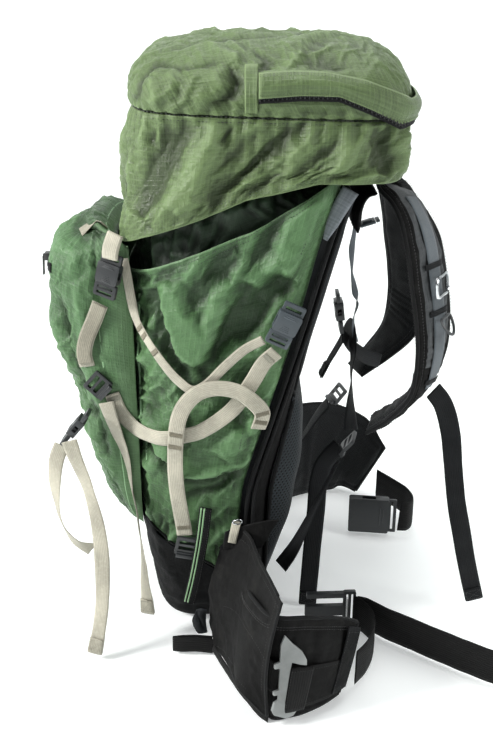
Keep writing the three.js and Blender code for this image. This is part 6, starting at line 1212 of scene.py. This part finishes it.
def wing_patch(Wg, f0, f1, a0, a1, lift, nmax, nu=36, nv=14, tilt=0.0, sign=1, bulge=0.0):
    c, W, N, hw, ht, s = Wg; n = len(c) - 1; ff = np.linspace(f0, f1, nu) / nmax * n; i = np.clip(ff.astype(int), 0, n - 1); u = (ff - i)[:, None]
    C = c[i] * (1 - u) + c[i + 1] * u; Wd = unit(W[i] * (1 - u) + W[i + 1] * u); Nn = unit(N[i] * (1 - u) + N[i + 1] * u); H = hw[i]; T = ht[i]
    aa = np.linspace(a0, a1, nv)[:, None] + tilt * np.linspace(-.5, .5, nu)[None]
    e = np.sin(np.pi * np.linspace(0, 1, nu))[None] ** .4
    P = C[None] + Wd[None] * (aa * H[None])[..., None] + Nn[None] * sign * ((T[None] * (1 - np.abs(aa) ** 6 * .35) + lift + bulge * e * np.sin(np.pi * np.linspace(0, 1, nv))[:, None])[..., None])
    P[..., 2] = np.maximum(P[..., 2], 1.0); return P, Nn * sign
def patch_piece(name, P, mats, body, t=1.6, rows=(1, -2), cols=(1, -2), nrm=None, bind=None):
    o = surface(name, P, mats); thicken(o, t, 0); add_piece(o, body)
    NN_ = grid_normals(P); NN_ = NN_ * np.sign((NN_.mean((0, 1)) @ (nrm if nrm is not None else np.array([0, -1, 0]))) or 1); parts = []
    for r in rows: v, f = stitch_data(P[r], None, NN_[r], 3.6, 2.3, .34, t * .6); parts.append((v, f))
    for k in cols: v, f = stitch_data(P[:, k], None, NN_[:, k], 3.6, 2.3, .34, t * .6); parts.append((v, f))
    o2 = join_meshes(name + "_thread", parts, [THREADK]); add_piece(o2, body); return o
P_, _ = wing_patch(WNG, 3.35, 4.42, -.30, .30, .6, 7, tilt=-.3); patch_piece("wing_web_panel", P_, [WBELT], "wing_near")
P_, _ = wing_patch(WNG, 4.5, 5.2, -.72, .16, 5.6, 7, nu=26, bulge=1.6); patch_piece("wing_plate_wrap", P_, [WBELT], "wing_near", 1.8)
P_, _ = wing_patch(WNG, 5.15, 6.55, -.70, .14, 2.6, 7, bulge=1.0); patch_piece("wing_lower_panel", P_, [BLACKC], "wing_near", 1.8)
P_, _ = wing_patch(WNG, 6.2, 6.95, -.62, .9, 4.8, 7, nu=22, bulge=1.0); patch_piece("wing_end_flap", P_, [BASEC], "wing_near", 1.8)
P_, _ = wing_patch(WFG, 1.0, 5.2, -.55, .55, 1.0, 6, sign=-1, nu=60); patch_piece("wing_far_panel", P_, [SMOOTHB], "wing_far", 1.6, nrm=np.array([-.6, .8, 0]))

# ------------------------------------------------------------------ side panel hem and seams
EDGE = [(-40, 505), (9, 529), (66, 554), (120, 580)]
q, n = along_grid(BAGP, BAGN, [(-36, 500), (9, 522), (66, 548), (120, 578), (160, 604)], lift=.9); v_, f_ = stitch_data(q, None, n, 3.8, 2.5, .36, .4)
q2, n2 = along_grid(BAGP, BAGN, [(-36, 494), (9, 516), (66, 542), (120, 572), (160, 598)], lift=.9); v2, f2 = stitch_data(q2, None, n2, 3.8, 2.5, .36, .4)
o = join_meshes("side_hem_thread", [(v_, f_), (v2, f2)], [THREADD]); add_piece(o, "pack")
q, n = along_grid(BAGP, BAGN, [(-50, 470), (-52, 430), (-54, 394), (-54, 359), (-52, 300), (-46, 250)], lift=.9); v_, f_ = stitch_data(q, None, n, 5.0, 3.0, .5, .5)
v2, f2, b2, _ = tube_data(q[::5], 1.3, 4, 8); o = join_meshes("side_seam", [(v_, f_, None, 0), (v2, f2, b2, 1)], [THREADD, PIPE]); add_piece(o, "pack")
q, n = along_grid(BAGP, BAGN, [(150, 560), (128, 500), (108, 440), (90, 380), (76, 320), (66, 260), (60, 215)], lift=1.2); v_, f_ = stitch_data(q, None, n, 4.0, 2.6, .36, .4); o = join_meshes("side_edge_thread", [(v_, f_)], [THREADD]); add_piece(o, "pack")
for sgn, nm in ((-1, "near"), (1, "far")):
    z_ = np.linspace(108, 596, 60); x_ = tab(BACK, z_); y_ = sgn * (np.interp(z_, [100, 300, 600], [122, 132, 128])); path = np.stack([x_ + 3, y_, z_], 1)
    v_, f_, b_, _ = tube_data(path[::4], 3.0, 6, 8); o = join_meshes("frame_edge_piping_" + nm, [(v_, f_, b_)], [BIND]); add_piece(o, "pack")
# light strip beside the shoulder yoke
v_, f_, b_, *_ = ribbon_data([[197, -127, 604], [186, -131, 586], [176, -133, 565], [169, -134, 548]], [.75, -.55, -.35], 17, 1.6, 2.4, widths=[22, 20, 16, 6], wave=.6); o = join_meshes("side_strip", [(v_, f_, b_)], [LIGHTC]); add_piece(o, "pack")
# lower seam of the green cloth, a folded edge with thread
ring = BAGP[1]; ring = np.concatenate([ring, ring[:1]]); rn = np.concatenate([BAGN[1], BAGN[1][:1]]); v_, f_, b_, _ = tube_data((ring + rn * .6)[::4], 1.7, 4, 8); v2, f2 = stitch_data(ring + rn * 2.0, None, rn, 4.2, 2.8, .36, .4)
o = join_meshes("base_seam", [(v_, f_, b_, 0), (v2, f2, None, 1)], [BIND, THREADD]); add_piece(o, "pack")

# ------------------------------------------------------------------ front pocket zip
sel = []; vz = np.argmin(np.abs(POCP[:, POCP.shape[1] // 2, 2] - 500))
A = POCP.reshape(-1, 3); Bn = POCN.reshape(-1, 3); m = (A[:, 0] < -95); A, Bn = A[m], Bn[m]; ys_ = np.linspace(-78, 78, 60); zc = 500 - 0.0 * ys_
pts, nn_ = [], []
for y in ys_:
    d2 = (A[:, 1] - y) ** 2 + (A[:, 2] - 500) ** 2; k = np.argsort(d2)[:6]; pts.append(A[k].mean(0)); nn_.append(Bn[k].mean(0))
pts, nn_ = np.array(pts), unit(np.array(nn_))
for _ in range(4): pts[1:-1] = .5 * pts[1:-1] + .25 * (pts[2:] + pts[:-2])
T_ = unit(np.gradient(pts, axis=0)); UP = unit(np.cross(nn_, T_)); UP = UP * np.sign(UP[:, 2:3])
rows = [pts + UP * w + nn_ * l for w, l in ((8, .8), (5, 1.5), (1.6, 1.9), (-1.6, 1.9), (-5, 1.5), (-8, .8))]
o = surface("pocket_zip_tape", np.array(rows), [BIND]); thicken(o, .8, 0); add_piece(o, "pack")
V, F = [], []; s_ = np.r_[0, np.cumsum(np.linalg.norm(np.diff(pts, axis=0), axis=1))]
at_ = lambda Q, x: np.stack([np.interp(x, s_, Q[:, k]) for k in range(3)], 1)
qs = np.arange(1, s_[-1], 2.2); cc, uu, nn2, tt_ = at_(pts, qs), unit(at_(UP, qs)), unit(at_(nn_, qs)), unit(at_(T_, qs))
for i in range(len(qs)):
    sg_ = 1 if i % 2 else -1
    for a_, b_, c_ in [(-1, -1, -1), (1, -1, -1), (1, 1, -1), (-1, 1, -1), (-.7, -.8, 1), (.7, -.8, 1), (.7, .8, 1), (-.7, .8, 1)]: V.append(cc[i] + tt_[i] * a_ * .7 + uu[i] * (b_ * 1.8 + sg_ * .8) + nn2[i] * (2.4 + c_ * .7))
    b = 8 * i; F += [[b, b + 3, b + 2, b + 1], [b + 4, b + 5, b + 6, b + 7], [b, b + 1, b + 5, b + 4], [b + 1, b + 2, b + 6, b + 5], [b + 2, b + 3, b + 7, b + 6], [b + 3, b, b + 4, b + 7]]
o = join_meshes("pocket_zip_teeth", [(V, F)], [PDARK], smooth_on=False); add_piece(o, "pack")
parts = []
for w in (7, -7): v_, f_ = stitch_data(pts + UP * w + nn_ * 1.4, None, nn_, 3.6, 2.3, .34, .3); parts.append((v_, f_))
o = join_meshes("pocket_zip_thread", parts, [THREADD]); add_piece(o, "pack")
# piping round the pocket's edge
edge = np.concatenate([POCP[2:-2, 3], POCP[-3, 3:-3], POCP[2:-2, -4][::-1]]); ok_ = (np.linalg.norm(edge - np.array([-89.2, -106.6, 343.7]), axis=1) > 34) & (np.linalg.norm(edge - np.array([-96, -100, 470]), axis=1) > 20); runs, cur = [], []
for i in range(len(edge)):
    if ok_[i]: cur.append(edge[i])
    elif cur: runs.append(np.array(cur)); cur = []
if cur: runs.append(np.array(cur))
o = join_meshes("pocket_piping", [tube_data(r_[::5], 1.3, 4, 8)[:3] for r_ in runs if len(r_) > 24], [PIPE]); add_piece(o, "pack")
# narrow strap and small buckle between the shoulder straps
nr = [[219.2, 0, 541], [214.5, 3, 500], [216, 1, 470], [221.1, 0, 442], [224.8, -2, 428], [220.5, 0, 406], [224.8, 0, 372]]
v_, f_, b_, *_ = ribbon_data(nr, [[.4, 1, 0], [.9, .4, 0], [.3, 1, 0], [.9, .3, .2], [-.3, 1, .3], [.3, 1, 0], [.8, .6, 0]], 9, 1.2, 2.2, wave=1.2, seed=151); o = join_meshes("yoke_thin_webbing", [(v_, f_, b_)], [WGREY]); add_piece(o, "pack")
ax = hw_axes([233, 0, 535], [0, 1, 0], [.95, 0, .3]); o = join_meshes("yoke_small_buckle", [rbox(0, 0, 0, 22, 3.6, 20, ax, 1), rbox(0, 2.4, 0, 13, 2.0, 12, ax, .8), rbox(0, 0, 13, 20, 2.8, 5, ax, 1)], [PGREY]); add_piece(o, "pack")
# a small loop buckle low on the pocket's edge
ax = hw_axes([-117, -108, 118], [.7, .7, 0], [.08, 0, 1]); o = join_meshes("pocket_corner_buckle", [rbox(0, 0, 8, 14, 4.6, 16, ax, 1.2), rbox(0, 0, -8, 15, 4.2, 12, ax, 1.2)], [PBLACK]); add_piece(o, "pack")
# pale strap that comes from under the lid over the pocket's shoulder, in the darker copy of the tan webbing as painted
# shade
K = POCP.reshape(-1, 3); KN = POCN.reshape(-1, 3); sp, sn = [], []
for x_, z_ in [(-72, 579), (-84, 570), (-97, 559), (-108, 548), (-118, 536)]:
    k = np.argsort((K[:, 0] - x_) ** 2 + (K[:, 1] + 66) ** 2 * .25 + (K[:, 2] - z_) ** 2)[:8]; sp.append(K[k].mean(0) + KN[k].mean(0) * 2.2); sn.append(KN[k].mean(0))
sp = np.array(sp); v_, f_, b_, *_ = ribbon_data(sp, np.cross(np.gradient(sp, axis=0), np.array(sn)), 14, 1.3, 2.4, wave=.4, seed=161); o = join_meshes("pocket_top_webbing", [(v_, f_, b_)], [TAN_SHADED]); add_piece(o, "pack")
# black gusset that closes the gap between the bag and the padded back
for sgn, nm in ((-1, "near"), (1, "far")):
    z_ = np.linspace(84, 592, 70); bx = tab(BACK, z_); g = np.stack([np.stack([bx - 10 + 26 * k, np.full_like(z_, sgn * (117.5 - 3 * k)), z_], 1) for k in np.linspace(0, 1, 5)], 1)
    o = surface("back_gusset_" + nm, g, [SMOOTHB]); thicken(o, 1.4, 0); add_piece(o, "pack")
WORLD = 0.30
LIGHTS = [("left", (-2.0, -0.75, 1.5), (0, 0, 0.45), (0.6, 0.6), 82.0, (1.0, 0.99, 0.98)), ("right", (2.2, -0.8, 1.2), (0.05, 0, 0.42), (0.9, 1.2), 30.0, (1.0, 1.0, 0.99)), ("top", (0.1, 0.1, 2.7), (0, 0, 0.2), (1.2, 1.2), 42.0, (1, 1, 1)), ("front", (-0.3, -2.6, 1.6), (0, 0, 0.35), (1.2, 1.0), 6.0, (1, 1, 1))]

# ------------------------------------------------------------------ floor, backdrop and light
scene.view_settings.view_transform = "Standard"; scene.view_settings.look = "None"; scene.view_settings.exposure = 0.0; scene.view_settings.gamma = 1.0
fm = Mat("studio_floor"); fm.b.inputs["Roughness"].default_value = 0.55; fm.b.inputs["Specular IOR Level"].default_value = 0.3; fm.b.inputs["Emission Color"].default_value = (0.97, 0.99, 1.0, 1); fm.b.inputs["Emission Strength"].default_value = 0.25
fm.link(fm.mix(fm.ramp(fm.noise(fm.obj(), 3.0, 3.0), 0.3, 0.7), srgb(238, 242, 241), srgb(244, 247, 246)), fm.b.inputs["Base Color"])
ys = np.concatenate([np.linspace(-4000, 1600, 30), 1600 + 900 * np.sin(np.linspace(0, np.pi / 2, 14))[1:], np.full(10, 2500)])
zs = np.concatenate([np.zeros(30), 900 * (1 - np.cos(np.linspace(0, np.pi / 2, 14)))[1:], np.linspace(950, 4200, 10)])
FP = np.array([[[x, y, z] for x in np.linspace(-5000, 5000, 24)] for y, z in zip(ys, zs)]); FP[..., 2] -= 0.3
floor = surface("floor", FP, [fm.m])
world = bpy.data.worlds.new("studio"); scene.world = world; world.use_nodes = True
bg = world.node_tree.nodes["Background"]; bg.inputs[0].default_value = (0.97, 0.985, 1.0, 1)
wn = world.node_tree; tc, sx, mr = wn.nodes.new("ShaderNodeTexCoord"), wn.nodes.new("ShaderNodeSeparateXYZ"), wn.nodes.new("ShaderNodeMapRange")
wn.links.new(tc.outputs["Generated"], sx.inputs[0]); wn.links.new(sx.outputs[1], mr.inputs[0]); mr.inputs[1].default_value = -0.7; mr.inputs[2].default_value = 0.5; mr.inputs[3].default_value = 0.12; mr.inputs[4].default_value = WORLD
wn.links.new(mr.outputs[0], bg.inputs[1])
def area(name, loc, look, size, power, color=(1, 1, 1)):
    l = bpy.data.lights.new(name, "AREA"); l.shape = "RECTANGLE"; l.size, l.size_y = size; l.energy = power; l.color = color
    o = bpy.data.objects.new(name, l); o.location = loc; o.rotation_euler = (Vector(look) - Vector(loc)).to_track_quat("-Z", "Y").to_euler(); scene.collection.objects.link(o); return o
for a in LIGHTS: area(*a)
